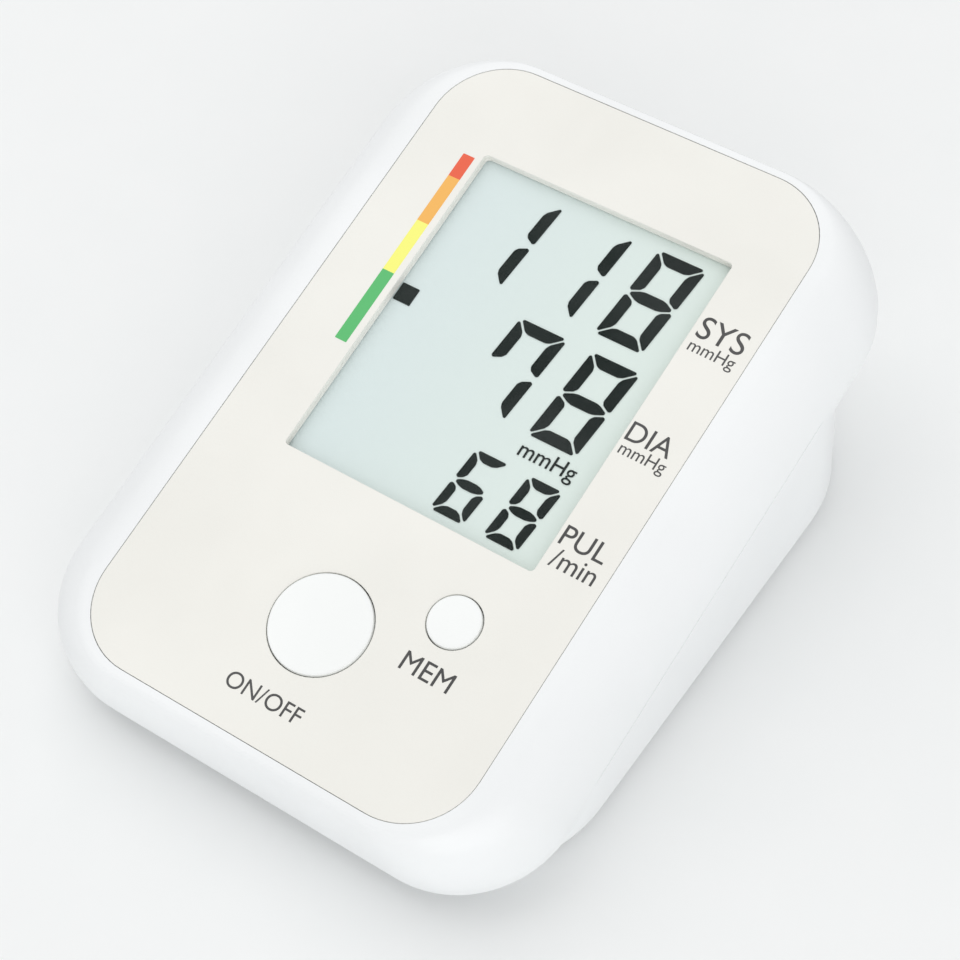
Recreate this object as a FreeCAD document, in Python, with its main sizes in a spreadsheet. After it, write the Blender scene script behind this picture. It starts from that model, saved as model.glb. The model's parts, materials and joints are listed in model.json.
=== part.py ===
import FreeCAD, Part
import math
import os
import re
import Sketcher

# A home blood pressure monitor: a wedge shaped desk unit with a display and two keys.
# Two frames are used. The table frame has +Z up and its origin under the middle of the
# unit. The deck frame lies on the sloping face: its origin is the middle of the face
# plate's upper surface, +Y runs up the slope and +Z stands square on the plate.

SIZES = {
    # whole body
    "body_width": 125,
    "body_length": 169,
    "rim_radius": 26,
    "rim_shift": 1.3,
    "tilt_angle": 13.5,
    "front_height": 24.8,
    "shell_depth": 16.5,
    "wall": 2.2,
    "deck_thick": 2.4,
    "plate_margin": 1.6,
    "rim_break": 0.6,
    "overrun": 5,
    "merge": 0.5,
    # face plate
    "plate_width": 95,
    "plate_length": 160,
    "plate_radius": 16.5,
    "plate_thick": 1.2,
    "fit_gap": 0.15,
    # display
    "window_width": 63,
    "window_length": 79.2,
    "window_x": 1.4,
    "window_y": 18,
    "window_radius": 1,
    "lens_lap": 4,
    "lens_thick": 1,
    "gasket_thick": 0.3,
    "gasket_lap": 0.5,
    "lcd_lap": 2.5,
    "lcd_glass_thick": 1.1,
    "lcd_ledge": 3,
    "lcd_gap": 0.5,
    "reflector_thick": 0.3,
    "frame_wall": 2,
    "frame_lip": 0.8,
    "frame_seat": 5,
    "strip_width": 2.4,
    "strip_inset": 1.2,
    "strip_gap": 0.1,
    # circuit board
    "board_width": 80,
    "board_length": 138,
    "board_y": 1.5,
    "board_radius": 2,
    "board_depth": 9.6,
    "board_thick": 1.6,
    "board_hole_inset": 4,
    "board_boss_radius": 3,
    "board_screw_radius": 1.1,
    "board_screw_length": 5.6,
    "board_head_radius": 2.2,
    "board_head_thick": 1.3,
    "screw_gap": 0.05,
    "screw_play": 0.3,
    "processor_side": 12,
    "processor_thick": 1.5,
    "processor_x": 10,
    "processor_y": 12,
    "memory_width": 5,
    "memory_length": 6,
    "memory_thick": 1.4,
    "memory_x": 28,
    "memory_y": 14,
    "driver_side": 6.6,
    "driver_thick": 2.3,
    "driver_x": -18,
    "driver_y": -44,
    "buzzer_radius": 6,
    "buzzer_height": 4.5,
    "buzzer_hole": 1,
    "buzzer_x": -26,
    "buzzer_y": -47,
    # keys and their switches
    "on_off_radius": 11.2,
    "on_off_x": 0.6,
    "on_off_y": -51.8,
    "mem_radius": 5.8,
    "mem_x": 24.8,
    "mem_y": -38.2,
    "key_gap": 0.25,
    "key_proud": 0.5,
    "key_round": 0.5,
    "key_wall": 1.4,
    "key_flange": 1.3,
    "key_flange_thick": 1,
    "key_seat_gap": 0.3,
    "key_travel": 0.8,
    "key_stop_gap": 0.3,
    "stem_radius": 2.2,
    "switch_side": 6.2,
    "switch_height": 3.4,
    "plunger_radius": 1.7,
    "plunger_gap": 0.1,
    "plunger_sink": 1.6,
    # lower case
    "base_side_inset": 0.2,
    "base_radius": 31,
    "base_front_inset": 6,
    "base_rear_inset": 12,
    "floor_thick": 2.2,
    "bottom_round": 3.5,
    "seam": 0.3,
    "flange_inset": 0.4,
    "flange_thick": 3,
    "lip_gap": 0.3,
    "lip_thick": 1.4,
    "lip_height": 2,
    "post_radius": 4,
    "post_side_inset": 15.3,
    "post_front_inset": 29.3,
    "post_rear_inset": 37,
    "post_gap": 0.2,
    "post_skin": 4,
    "screw_radius": 1.4,
    "screw_length": 12,
    "screw_head_radius": 2.8,
    "screw_head_thick": 1.8,
    "foot_radius": 5,
    "foot_thick": 2,
    "foot_stand": 1.2,
    "foot_side_inset": 18.8,
    "foot_end_inset": 17.2,
    # battery bay and its door
    "cell_radius": 7.1,
    "cell_length": 48.5,
    "cell_pitch": 15,
    "cell_lift": 1.5,
    "nub_radius": 2.7,
    "nub_length": 1.6,
    "bay_width": 68,
    "bay_length": 56,
    "bay_rear_gap": 2.4,
    "bay_wall": 1.6,
    "bay_roof_gap": 0.5,
    "contact_side": 10,
    "contact_thick": 0.5,
    "contact_gap": 0.2,
    "tab_width": 3,
    "tab_reach": 1.6,
    "spring_wire": 0.4,
    "spring_wide": 4.8,
    "spring_narrow": 2.8,
    "door_width": 64,
    "door_thick": 2,
    "door_rise": 8,
    "door_gap": 0.2,
    "tongue_reach": 1.7,
    "tongue_root": 2,
    "tongue_thick": 0.9,
    "tongue_gap": 0.3,
    "grip_width": 34,
    "grip_groove": 1.2,
    "grip_pitch": 2.6,
    "grip_depth": 0.6,
    "grip_inset": 9,
    # air line
    "air_height": 13,
    "tee_inset": 14.3,
    "tee_radius": 3.4,
    "tee_reach": 4,
    "nipple_radius": 1.6,
    "nipple_bore": 0.9,
    "nipple_length": 4.5,
    "tube_wall": 0.9,
    "tube_fit": 0.05,
    "tube_clear": 0.3,
    "tube_bend": 4.4,
    "jack_pitch": 22,
    "jack_radius": 5,
    "jack_length": 16.5,
    "jack_rim_radius": 6.5,
    "jack_rim_thick": 1.2,
    "jack_proud": 0.4,
    "jack_bore": 3,
    "jack_bore_depth": 11,
    "sensor_width": 10,
    "sensor_length": 9,
    "sensor_thick": 5.4,
    "sensor_run": 17,
    # pump
    "pump_run": 24,
    "pump_bay_run": 20.4,
    "pump_lift": 0.3,
    "head_radius": 11.5,
    "head_length": 24,
    "head_block": 10,
    "head_wall": 2,
    "motor_radius": 9.5,
    "motor_length": 30,
    "motor_boss_radius": 3.5,
    "motor_boss_length": 2,
    "motor_bore_depth": 20,
    "shaft_radius": 1,
    "shaft_gap": 0.06,
    "crank_radius": 6,
    "crank_thick": 5,
    "crank_gap": 1,
    "crank_throw": 3,
    "crank_pin_length": 4,
    "sleeve_thick": 1.2,
    "sleeve_length": 18,
    "sleeve_inset": 6,
    "rib_thick": 2,
    "rib_margin": 1.8,
    "rib_gap": 0.2,
    "strap_thick": 1.6,
    "strap_width": 10,
    "strap_lug": 4.2,
    "strap_post_radius": 2.4,
    "strap_screw_length": 7,
    # release valve
    "valve_run": 18,
    "valve_pitch": 23,
    "valve_length": 20,
    "valve_side": 13,
    "valve_plate": 1.2,
    "coil_radius": 5.4,
    "armature_radius": 2,
    "armature_gap": 0.1,
    "armature_length": 12,
    "armature_travel": 0.6,
    "armature_proud": 2,
    "terminal_thick": 3,
    "terminal_width": 10,
    "terminal_height": 3,
    # leads
    "lead_radius": 0.6,
    "lead_bend": 3,
    "lead_run": 3.6,
    "lead_spread": 6,
    "lead_gap": 0.25,
}

TINY = 1e-6
QUARTER_TURN = math.pi / 2


def quarter_shares(steps):
    """Even steps round a quarter turn: the shares of the way down and of the way out."""
    angles = [QUARTER_TURN * step / steps for step in range(steps + 1)]
    return [(round(1 - math.cos(angle), 4), round(math.sin(angle), 4)) for angle in angles]


# The flared shoulder is a quarter ellipse from the plate's edge out to the rim.
SHOULDER_SHARES = quarter_shares(7)
# The inside of the shell starts narrower under the deck and then follows the shoulder's last steps.
CAVITY_TOP_SHARE = 0.45
CAVITY_SHARES = SHOULDER_SHARES[5:]
# The base's bottom edge is rounded in a few steps, and a key's top edge in two.
BOTTOM_SHARES = quarter_shares(3)
KEY_EDGE_SHARE = quarter_shares(2)[1][0]
SPRING_TURNS = 2
WIRE_SIDES = 6
TUBE_SIDES = 12
LEAD_SIDES = 8
GRIP_COUNT = 5

doc = FreeCAD.newDocument("blood_pressure_monitor")
sheet = doc.addObject("Spreadsheet::Sheet", "Sizes")
aliases = []


def name_cells(table, lead=""):
    """Write a table of names and numbers, or names and formulas, below the sheet's last row."""
    for alias, content in table.items():
        aliases.append(alias)
        row = len(aliases)
        sheet.set(f"A{row}", alias)
        sheet.set(f"B{row}", f"{lead}{content}")
        sheet.setAlias(f"B{row}", alias)
    doc.recompute()


def bound(text):
    """Point each name in an expression at its cell in the sheet."""
    return re.sub(
        r"[a-z][a-z0-9_]*",
        lambda word: "Sizes." + word[0] if word[0] in aliases else word[0],
        text,
    )


name_cells(SIZES)


def value(text):
    """Work out an expression in named sizes."""
    return float(sheet.evalExpression(bound(text)))


# Places that several pieces share, as expressions in named sizes
TOP_WIDTH = "(plate_width + 2 * plate_margin)"
TOP_LENGTH = "(plate_length + 2 * plate_margin)"
TOP_RADIUS = "(plate_radius + plate_margin)"
SHOULDER_DEPTH = "(shell_depth - rim_break)"
BASE_WIDTH = "(body_width - 2 * base_side_inset)"


def front_reach(depth, spread):
    """How far a section of the shoulder stands out to the front."""
    half = f"({TOP_LENGTH} + (body_length - {TOP_LENGTH}) * {spread}) / 2"
    return (f"({half} + rim_shift * {spread}) * cos(tilt_angle)"
            f" - {SHOULDER_DEPTH} * {depth} * sin(tilt_angle)")


FRONT_REACH = f"max({'; '.join(front_reach(*shares) for shares in SHOULDER_SHARES)})"
REAR_REACH = f"((body_length / 2 - rim_shift) * cos(tilt_angle) + {SHOULDER_DEPTH} * sin(tilt_angle))"
DECK_Y = f"(({FRONT_REACH} - {REAR_REACH}) / 2)"
DECK_Z = "(front_height + plate_length / 2 * sin(tilt_angle))"
DECK_BOTTOM = "(plate_thick + deck_thick)"
LCD_WIDTH = "(window_width + 2 * lcd_lap)"
LCD_LENGTH = "(window_length + 2 * lcd_lap)"
LCD_TOP = "(plate_thick + lens_thick + gasket_thick)"
LCD_BOTTOM = f"({LCD_TOP} + 2 * lcd_glass_thick)"
BOARD_BOTTOM = "(board_depth + board_thick)"
PLUNGER_TOP = "(board_depth - switch_height - key_travel - key_stop_gap)"
FLOOR_TOP = "(foot_stand + floor_thick)"
CELL_Z = f"({FLOOR_TOP} + cell_lift + cell_radius)"
BAY_ROOF = f"({CELL_Z} + cell_radius + bay_roof_gap)"
SLEEVE_RADIUS = "(motor_radius + sleeve_thick)"
PUMP_Z = f"({FLOOR_TOP} + pump_lift + head_radius)"
MOTOR_X = "(pump_x + head_length)"
SLEEVE_X = f"({MOTOR_X} + sleeve_inset)"
TUBE_BORE = "(nipple_radius + tube_fit)"
TUBE_RADIUS = f"({TUBE_BORE} + tube_wall)"


def deck_y(along, depth):
    """Table Y of a point of the deck frame, given its depth under the plate's face."""
    return f"({DECK_Y} + ({along}) * cos(tilt_angle) + ({depth}) * sin(tilt_angle))"


def deck_z(along, depth):
    """Table Z of a point of the deck frame, given its depth under the plate's face."""
    return f"({DECK_Z} + ({along}) * sin(tilt_angle) - ({depth}) * cos(tilt_angle))"


def slope_z(table_y, depth):
    """Table Z, over a table Y, of the plane that lies a depth under the plate's face."""
    return f"({DECK_Z} + (({table_y}) - {DECK_Y}) * tan(tilt_angle) - ({depth}) / cos(tilt_angle))"


PARTING = "(shell_depth + seam)"
BASE_FRONT = f"({deck_y('-body_length / 2 - rim_shift', 'shell_depth')} + base_front_inset)"
BASE_REAR = f"({deck_y('body_length / 2 - rim_shift', 'shell_depth')} - base_rear_inset)"
BASE_Y = f"(({BASE_FRONT} + {BASE_REAR}) / 2)"
BASE_LENGTH = f"({BASE_REAR} - {BASE_FRONT})"
BAY_REAR = f"({BASE_REAR} - wall - bay_rear_gap)"
BAY_FRONT = f"({BAY_REAR} - bay_length)"
# The posts and feet follow the base's sides and ends. The air fittings follow its left side, and the
# pump, the valve and the socket stand in a row in front of the battery bay.
name_cells({
    "post_x": f"{BASE_WIDTH} / 2 - post_side_inset",
    "post_front_y": f"{BASE_FRONT} + post_front_inset",
    "post_rear_y": f"{BASE_REAR} - post_rear_inset",
    "foot_x": f"{BASE_WIDTH} / 2 - foot_side_inset",
    "foot_spread": f"{BASE_LENGTH} / 2 - foot_end_inset",
    "tee_x": f"tee_inset - {BASE_WIDTH} / 2",
    "pump_x": "tee_x + pump_run",
    "valve_x": "tee_x + valve_run",
    "sensor_x": "tee_x + sensor_run",
    "pump_y": f"{BAY_FRONT} - pump_bay_run",
    "valve_y": "pump_y - valve_pitch",
    "jack_y": "pump_y + jack_pitch",
}, "=")
POSTS = [(x, y) for x in ("-post_x", "post_x") for y in ("post_front_y", "post_rear_y")]
FEET = [
    (x, f"({BASE_Y} {way} foot_spread)") for x in ("-foot_x", "foot_x") for way in ("-", "+")
]
BOARD_HOLES = [
    (f"{side} (board_width / 2 - board_hole_inset)",
     f"board_y {way} (board_length / 2 - board_hole_inset)")
    for side in ("-", "1 *") for way in ("-", "+")
]
STRAP_SCREWS = [f"(pump_y {way} ({SLEEVE_RADIUS} + strap_lug))" for way in ("-", "+")]
# Where the cells lie across the bay, as shares of their pitch.
CELL_SHARES = (-1.5, -0.5, 0.5, 1.5)


# The two end cells' front contacts have solder tabs through the bay's front wall.
TAB_PLACES = [f"({share} * cell_pitch)" for share in (CELL_SHARES[0], CELL_SHARES[-1])]


def new_body(name, on_deck=False):
    """Start a sub-part, in the table frame or in the deck frame."""
    body = doc.addObject("PartDesign::Body", name)
    body.Label = name
    if on_deck:
        lean = FreeCAD.Rotation(FreeCAD.Vector(1, 0, 0), value("tilt_angle"))
        body.Placement = FreeCAD.Placement(FreeCAD.Vector(), lean)
        body.setExpression("Placement.Base.y", bound(DECK_Y))
        body.setExpression("Placement.Base.z", bound(DECK_Z))
        body.setExpression("Placement.Rotation.Angle", bound("tilt_angle"))
    return body


def new_sketch(body, plane, level):
    """Add a sketch on one of the body's own planes, moved along the plane's normal."""
    sketch = body.newObject("Sketcher::SketchObject", body.Name + "_sketch")
    support = [part for part in body.Origin.OriginFeatures if part.Role == plane][0]
    sketch.AttachmentSupport = [(support, "")]
    sketch.MapMode = "FlatFace"
    sketch.setExpression("AttachmentOffset.Base.z", bound(level))
    return sketch


def flat(body, level="0"):
    """Sketch in X and Y at a height."""
    return new_sketch(body, "XY_Plane", level)


def side(body, level="0"):
    """Sketch in Y and Z at a place along X."""
    return new_sketch(body, "YZ_Plane", level)


def front(body, level="0"):
    """Sketch in X and Z at a place along Y."""
    return new_sketch(body, "XZ_Plane", f"-({level})")


def leaning(body, lean, height="0", along="0"):
    """Sketch on a plane that leans about X by an angle, in its body's frame."""
    sketch = flat(body, height)
    turn = FreeCAD.Rotation(FreeCAD.Vector(1, 0, 0), value(lean))
    sketch.AttachmentOffset = FreeCAD.Placement(FreeCAD.Vector(), turn)
    sketch.setExpression("AttachmentOffset.Base.y", bound(along))
    sketch.setExpression("AttachmentOffset.Base.z", bound(height))
    sketch.setExpression("AttachmentOffset.Rotation.Angle", bound(lean))
    return sketch


def drive(sketch, constraint, text):
    """Add a dimension to a sketch and bind it to named sizes."""
    index = sketch.addConstraint(Sketcher.Constraint(*constraint, value(text)))
    sketch.setExpression(f"Constraints[{index}]", bound(text))


def pin_point(sketch, geometry, point, x, y):
    """Tie a sketch point to its place."""
    for kind, axis, text in (("DistanceX", -2, x), ("DistanceY", -1, y)):
        if abs(value(text)) < TINY:
            sketch.addConstraint(Sketcher.Constraint("PointOnObject", geometry, point, axis))
        else:
            drive(sketch, (kind, -1, 1, geometry, point), text)


def circle(sketch, radius, x="0", y="0"):
    """Draw a circle."""
    centre = FreeCAD.Vector(value(x), value(y), 0)
    shape = Part.Circle(centre, FreeCAD.Vector(0, 0, 1), value(radius))
    geometry = sketch.addGeometry(shape)
    drive(sketch, ("Radius", geometry), radius)
    pin_point(sketch, geometry, 3, x, y)


def prism(sketch, radius, sides, x, y):
    """Draw an even sided outline whose flats lie as far from its centre as a radius."""
    corner = f"(({radius}) / cos({180 / sides}))"
    turns = [360 / sides * (step + 0.5) for step in range(sides)]
    outline(sketch, [(f"({x}) + {corner} * cos({turn})", f"({y}) + {corner} * sin({turn})")
                     for turn in turns])


def outline(sketch, points):
    """Draw a closed outline of straight edges."""
    spots = [FreeCAD.Vector(value(x), value(y), 0) for x, y in points]
    lines = []
    for start, end in zip(spots, spots[1:] + spots[:1]):
        lines.append(sketch.addGeometry(Part.LineSegment(start, end)))
    for line, following in zip(lines, lines[1:] + lines[:1]):
        sketch.addConstraint(Sketcher.Constraint("Coincident", line, 2, following, 1))
    for line, (x, y) in zip(lines, points):
        pin_point(sketch, line, 1, x, y)


def rectangle(sketch, x, y):
    """Draw a rectangle from its low and high edges."""
    outline(sketch, [(x[0], y[0]), (x[1], y[0]), (x[1], y[1]), (x[0], y[1])])


def rounded_rectangle(sketch, width, length, radius, x="0", y="0"):
    """Draw a rectangle with round corners about a centre."""
    half_x, half_y, corner = value(width) / 2, value(length) / 2, value(radius)
    middle = FreeCAD.Vector(value(x), value(y), 0)
    normal = FreeCAD.Vector(0, 0, 1)
    lines, arcs = [], []
    for turn, (sx, sy) in enumerate(((1, -1), (1, 1), (-1, 1), (-1, -1))):
        hub = middle + FreeCAD.Vector(sx * (half_x - corner), sy * (half_y - corner), 0)
        ring = Part.Circle(hub, normal, corner)
        arc = Part.ArcOfCircle(ring, (turn - 1) * QUARTER_TURN, turn * QUARTER_TURN)
        arcs.append(sketch.addGeometry(arc))
    ends = [sketch.Geometry[arc] for arc in arcs]
    for turn in range(4):
        edge = Part.LineSegment(ends[turn - 1].EndPoint, ends[turn].StartPoint)
        lines.append(sketch.addGeometry(edge))
    for turn in range(4):
        sketch.addConstraint(Sketcher.Constraint("Tangent", arcs[turn - 1], 2, lines[turn], 1))
        sketch.addConstraint(Sketcher.Constraint("Tangent", lines[turn], 2, arcs[turn], 1))
        kind = "Horizontal" if turn % 2 == 0 else "Vertical"
        sketch.addConstraint(Sketcher.Constraint(kind, lines[turn]))
    for arc in arcs[1:]:
        sketch.addConstraint(Sketcher.Constraint("Equal", arcs[0], arc))
    drive(sketch, ("Radius", arcs[0]), radius)
    drive(sketch, ("DistanceX", lines[3], 1, lines[1], 1), width)
    drive(sketch, ("DistanceY", lines[0], 1, lines[2], 1), length)
    drive(sketch, ("DistanceX", -1, 1, lines[1], 1), f"({x}) + ({width}) / 2")
    drive(sketch, ("DistanceY", -1, 1, lines[2], 1), f"({y}) + ({length}) / 2")


def settle(body, feature):
    """Make a feature the body's last one and work it out."""
    body.Tip = feature
    doc.recompute()
    return feature


def must_cut(body, before):
    """Stop where a cut has missed its solid."""
    if body.Shape.Volume > before - TINY:
        raise ValueError(f"{body.Label}: a cut removes nothing")


def pad(body, profile, length, down=False, both=False):
    """Add an extrusion."""
    feature = body.newObject("PartDesign::Pad", body.Name + "_pad")
    feature.Profile = profile
    feature.setExpression("Length", bound(length))
    feature.Reversed = down
    feature.SideType = "Symmetric" if both else "One side"
    return settle(body, feature)


def cut(body, profile, length, up=False, both=False):
    """Take an extrusion away."""
    before = body.Shape.Volume
    feature = body.newObject("PartDesign::Pocket", body.Name + "_cut")
    feature.Profile = profile
    feature.setExpression("Length", bound(length))
    feature.Reversed = up
    feature.SideType = "Symmetric" if both else "One side"
    settle(body, feature)
    must_cut(body, before)
    return feature


def revolve(body, profile):
    """Add a turned form about the sketch's own upright axis."""
    feature = body.newObject("PartDesign::Revolution", body.Name + "_turned")
    feature.Profile = profile
    feature.ReferenceAxis = (profile, ["V_Axis"])
    return settle(body, feature)


def loft(body, sections, hollow=False):
    """Add, or hollow out, a form that runs through sections."""
    before = body.Shape.Volume if hollow else 0
    kind = "PartDesign::SubtractiveLoft" if hollow else "PartDesign::AdditiveLoft"
    feature = body.newObject(kind, body.Name + "_loft")
    feature.Profile = sections[0]
    feature.Sections = sections[1:]
    feature.Ruled = True
    settle(body, feature)
    if hollow:
        must_cut(body, before)
    return feature


def round_edges(body, radius, wanted):
    """Round the edges of the body that a test picks."""
    base = body.Tip
    names = [f"Edge{index}" for index, edge in enumerate(base.Shape.Edges, 1) if wanted(edge)]
    feature = body.newObject("PartDesign::Fillet", body.Name + "_round")
    feature.Base = (base, names)
    feature.setExpression("Radius", bound(radius))
    return settle(body, feature)


def lies_at(height):
    """Test for edges that lie flat at a height."""
    level = value(height)
    return lambda edge: abs(edge.BoundBox.ZMin - level) + abs(edge.BoundBox.ZMax - level) < TINY * 100


PLANES = {"x": side, "y": front, "z": flat}


def rod(body, axis, start, length, centre, *radii):
    """Add a round bar along an axis; a second radius leaves a hole down its middle."""
    profile = PLANES[axis](body, start)
    for radius in radii:
        circle(profile, radius, *centre)
    return pad(body, profile, length, down=axis == "y")


def bore(body, axis, start, length, centre, radius):
    """Cut a round hole along an axis."""
    profile = PLANES[axis](body, start)
    circle(profile, radius, *centre)
    return cut(body, profile, length, up=axis != "y")


def block(body, x, y, z):
    """Add a block from its low and high faces."""
    profile = flat(body, z[0])
    rectangle(profile, x, y)
    return pad(body, profile, f"({z[1]}) - ({z[0]})")


def slot(body, x, y, z):
    """Cut a block away, from its low and high faces."""
    profile = flat(body, z[0])
    rectangle(profile, x, y)
    return cut(body, profile, f"({z[1]}) - ({z[0]})", up=True)


def layer(body, depth, thick, *outlines):
    """Add a flat layer at a depth under the plate's face; outlines after the first are holes."""
    profile = flat(body, f"-({depth})")
    for shape in outlines:
        rounded_rectangle(profile, *shape)
    return pad(body, profile, thick, down=True)


def opening(body, depth, thick, shape):
    """Cut a flat rounded opening at a depth under the plate's face."""
    profile = flat(body, f"-({depth})")
    rounded_rectangle(profile, *shape)
    return cut(body, profile, thick)


def window_shape(margin, radius="window_radius"):
    """Outline that follows the display window with a margin all round."""
    return (f"window_width + 2 * ({margin})", f"window_length + 2 * ({margin})", radius,
            "window_x", "window_y")


def shell_section(body, depth, spread, inset):
    """Outline of the flared shell at a depth, drawn in by an inset."""
    section = flat(body, f"-({depth})")
    rounded_rectangle(
        section,
        f"{TOP_WIDTH} + (body_width - {TOP_WIDTH}) * {spread} - 2 * ({inset})",
        f"{TOP_LENGTH} + (body_length - {TOP_LENGTH}) * {spread} - 2 * ({inset})",
        f"{TOP_RADIUS} + (rim_radius - {TOP_RADIUS}) * {spread} - ({inset})",
        y=f"-rim_shift * {spread}",
    )
    return section


def upper_case():
    """The sloping top shell: flared shoulders, a recess for the plate, bosses underneath."""
    body = new_body("upper_case", on_deck=True)
    shoulder = [shell_section(body, f"{SHOULDER_DEPTH} * {depth}", spread, "0")
                for depth, spread in SHOULDER_SHARES]
    loft(body, shoulder + [shell_section(body, "shell_depth", 1, "rim_break")])
    inner = [shell_section(body, DECK_BOTTOM, CAVITY_TOP_SHARE, "wall")]
    for depth, spread in CAVITY_SHARES:
        inner.append(shell_section(body, f"shell_depth * {depth}", spread, "wall"))
    loft(body, inner, hollow=True)
    opening(body, "0", "plate_thick",
            ("plate_width + 2 * fit_gap", "plate_length + 2 * fit_gap", "plate_radius + fit_gap"))
    opening(body, "plate_thick", "lens_thick", window_shape("lens_lap + fit_gap"))
    opening(body, "plate_thick", "deck_thick + overrun", window_shape("lcd_lap + lcd_gap"))
    for radius, x, y in (("on_off_radius", "on_off_x", "on_off_y"), ("mem_radius", "mem_x", "mem_y")):
        bore(body, "z", f"-({DECK_BOTTOM} + overrun)", f"{DECK_BOTTOM} + overrun",
             (x, y), f"{radius} + key_gap")
    for x, y in BOARD_HOLES:
        rod(body, "z", "-board_depth", f"board_depth - {DECK_BOTTOM} + merge",
            (x, y), "board_boss_radius")
        bore(body, "z", "-board_depth", "board_screw_length", (x, y),
             "board_screw_radius + screw_gap")
    for x, y in POSTS:
        case_boss(body, x, y)
    return body


def case_boss(body, x, y):
    """An upright boss of the top shell that takes a screw from below."""
    foot = f"({slope_z(y, PARTING)} + post_gap)"
    reach = f"{slope_z(y, f'{DECK_BOTTOM} - 2 * merge')} - {foot}"
    level = leaning(body, "-tilt_angle", *upright_level(foot))
    circle(level, "post_radius", x, f"({y}) - {DECK_Y}")
    pad(body, level, reach)
    level = leaning(body, "-tilt_angle", *upright_level(foot))
    circle(level, "screw_radius + screw_gap", x, f"({y}) - {DECK_Y}")
    cut(body, level, "screw_length - post_skin - post_gap + screw_play", up=True)


def upright_level(table_z):
    """Where a level plane at a table height, over the deck's origin, lies in the deck frame."""
    drop = f"({table_z} - {DECK_Z})"
    return f"{drop} * cos(tilt_angle)", f"{drop} * sin(tilt_angle)"


def lower_case():
    """The wedge base: floor and walls, a sloping flange and lip, posts, bay and cradles."""
    body = new_body("lower_case")
    steps = [base_section(body, f"foot_stand + bottom_round * {rise}", f"bottom_round * (1 - {out})")
             for rise, out in BOTTOM_SHARES]
    loft(body, steps)
    walls = base_section(body, "foot_stand + bottom_round", "0")
    pad(body, walls, slope_z(BASE_REAR, "0"))
    trim = side(body)
    ends = [(f"({way} body_length)", slope_z(f"({way} body_length)", PARTING)) for way in ("-", "1 *")]
    outline(trim, ends + [(y, f"{z} + body_length") for y, z in reversed(ends)])
    cut(body, trim, "2 * body_width", both=True)
    hollow = base_section(body, FLOOR_TOP, "wall")
    cut(body, hollow, slope_z(BASE_REAR, "0"), up=True)
    flange_and_lip(body)
    battery_bay(body)
    for x, y in POSTS:
        case_post(body, x, y)
    for x, y in FEET:
        bore(body, "z", "0", "foot_thick", (x, y), "foot_radius + fit_gap")
    spot = ("jack_y", "air_height")
    outside = f"(-{BASE_WIDTH} / 2 - overrun)"
    bore(body, "x", outside, "overrun + wall + overrun", spot, "jack_radius + fit_gap")
    bore(body, "x", outside, "overrun + jack_rim_thick - jack_proud", spot, "jack_rim_radius + fit_gap")
    pump_cradle(body)
    valve_stand(body)
    return body


def base_section(body, height, inset):
    """Outline of the base at a height, drawn in by an inset."""
    section = flat(body, height)
    rounded_rectangle(section, f"{BASE_WIDTH} - 2 * ({inset})", f"{BASE_LENGTH} - 2 * ({inset})",
                      f"base_radius - ({inset})", y=BASE_Y)
    return section


def flange_and_lip(body):
    """The sloping flange that closes the overhang, and the lip that enters the top shell."""
    flange = parting_sketch(body)
    rounded_rectangle(flange, "body_width - 2 * flange_inset", "body_length - 2 * flange_inset",
                      "rim_radius - flange_inset", y="-rim_shift")
    pad(body, flange, "flange_thick", down=True)
    lip_inset = "(wall + lip_gap + lip_thick)"
    mouth = parting_sketch(body)
    rounded_rectangle(mouth, f"body_width - 2 * {lip_inset}",
                      f"({BASE_LENGTH} - 2 * wall) / cos(tilt_angle)", "base_radius - wall",
                      y=f"({BASE_Y} - {DECK_Y} - {PARTING} * sin(tilt_angle)) / cos(tilt_angle)")
    cut(body, mouth, "flange_thick + overrun")
    lip = parting_sketch(body)
    for inset in ("wall + lip_gap", lip_inset):
        rounded_rectangle(lip, f"body_width - 2 * ({inset})", f"body_length - 2 * ({inset})",
                          f"rim_radius - ({inset})", y="-rim_shift")
    pad(body, lip, "lip_height")


def parting_sketch(body):
    """Sketch on the sloping plane where the two shells meet."""
    return leaning(body, "tilt_angle", deck_z("0", PARTING), deck_y("0", PARTING))


def battery_bay(body):
    """The bay for four cells: a roofed box over an opening that runs out through the rear wall."""
    half, outer = "bay_width / 2", "(bay_width / 2 + bay_wall)"
    block(body, (f"-{outer}", outer), (f"{BAY_FRONT} - bay_wall", f"{BAY_REAR} + bay_wall"),
          (f"{FLOOR_TOP} - merge", f"{BAY_ROOF} + bay_wall"))
    slot(body, (f"-{half}", half), (BAY_FRONT, BAY_REAR), (FLOOR_TOP, BAY_ROOF))
    slot(body, ("-door_width / 2", "door_width / 2"), (BAY_FRONT, f"{BASE_REAR} + overrun"),
         ("0", f"{FLOOR_TOP}"))
    tongue_top = f"{FLOOR_TOP} + tongue_thick + 2 * tongue_gap"
    slot(body, (f"-{half}", half), (BAY_REAR, f"{BASE_REAR} + overrun"), (FLOOR_TOP, tongue_top))
    slot(body, (f"-{half}", half), (f"{BASE_REAR} - wall", f"{BASE_REAR} + overrun"),
         ("0", "foot_stand + door_rise + door_gap"))
    for x in TAB_PLACES:
        slot(body, tab_span(x, "fit_gap"), (f"{BAY_FRONT} - bay_wall - overrun", BAY_FRONT),
             (f"{CELL_Z} - contact_thick / 2 - fit_gap", f"{CELL_Z} + contact_thick / 2 + fit_gap"))


def case_post(body, x, y):
    """A post of the base with a screw hole, counterbored from below."""
    top = slope_z(y, PARTING)
    rod(body, "z", FLOOR_TOP, f"{top} - {FLOOR_TOP}", (x, y), "post_radius")
    bore(body, "z", "0", f"{top} + overrun", (x, y), "screw_radius + screw_play")
    bore(body, "z", "0", f"{top} - post_skin", (x, y), "screw_head_radius + screw_play")


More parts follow.
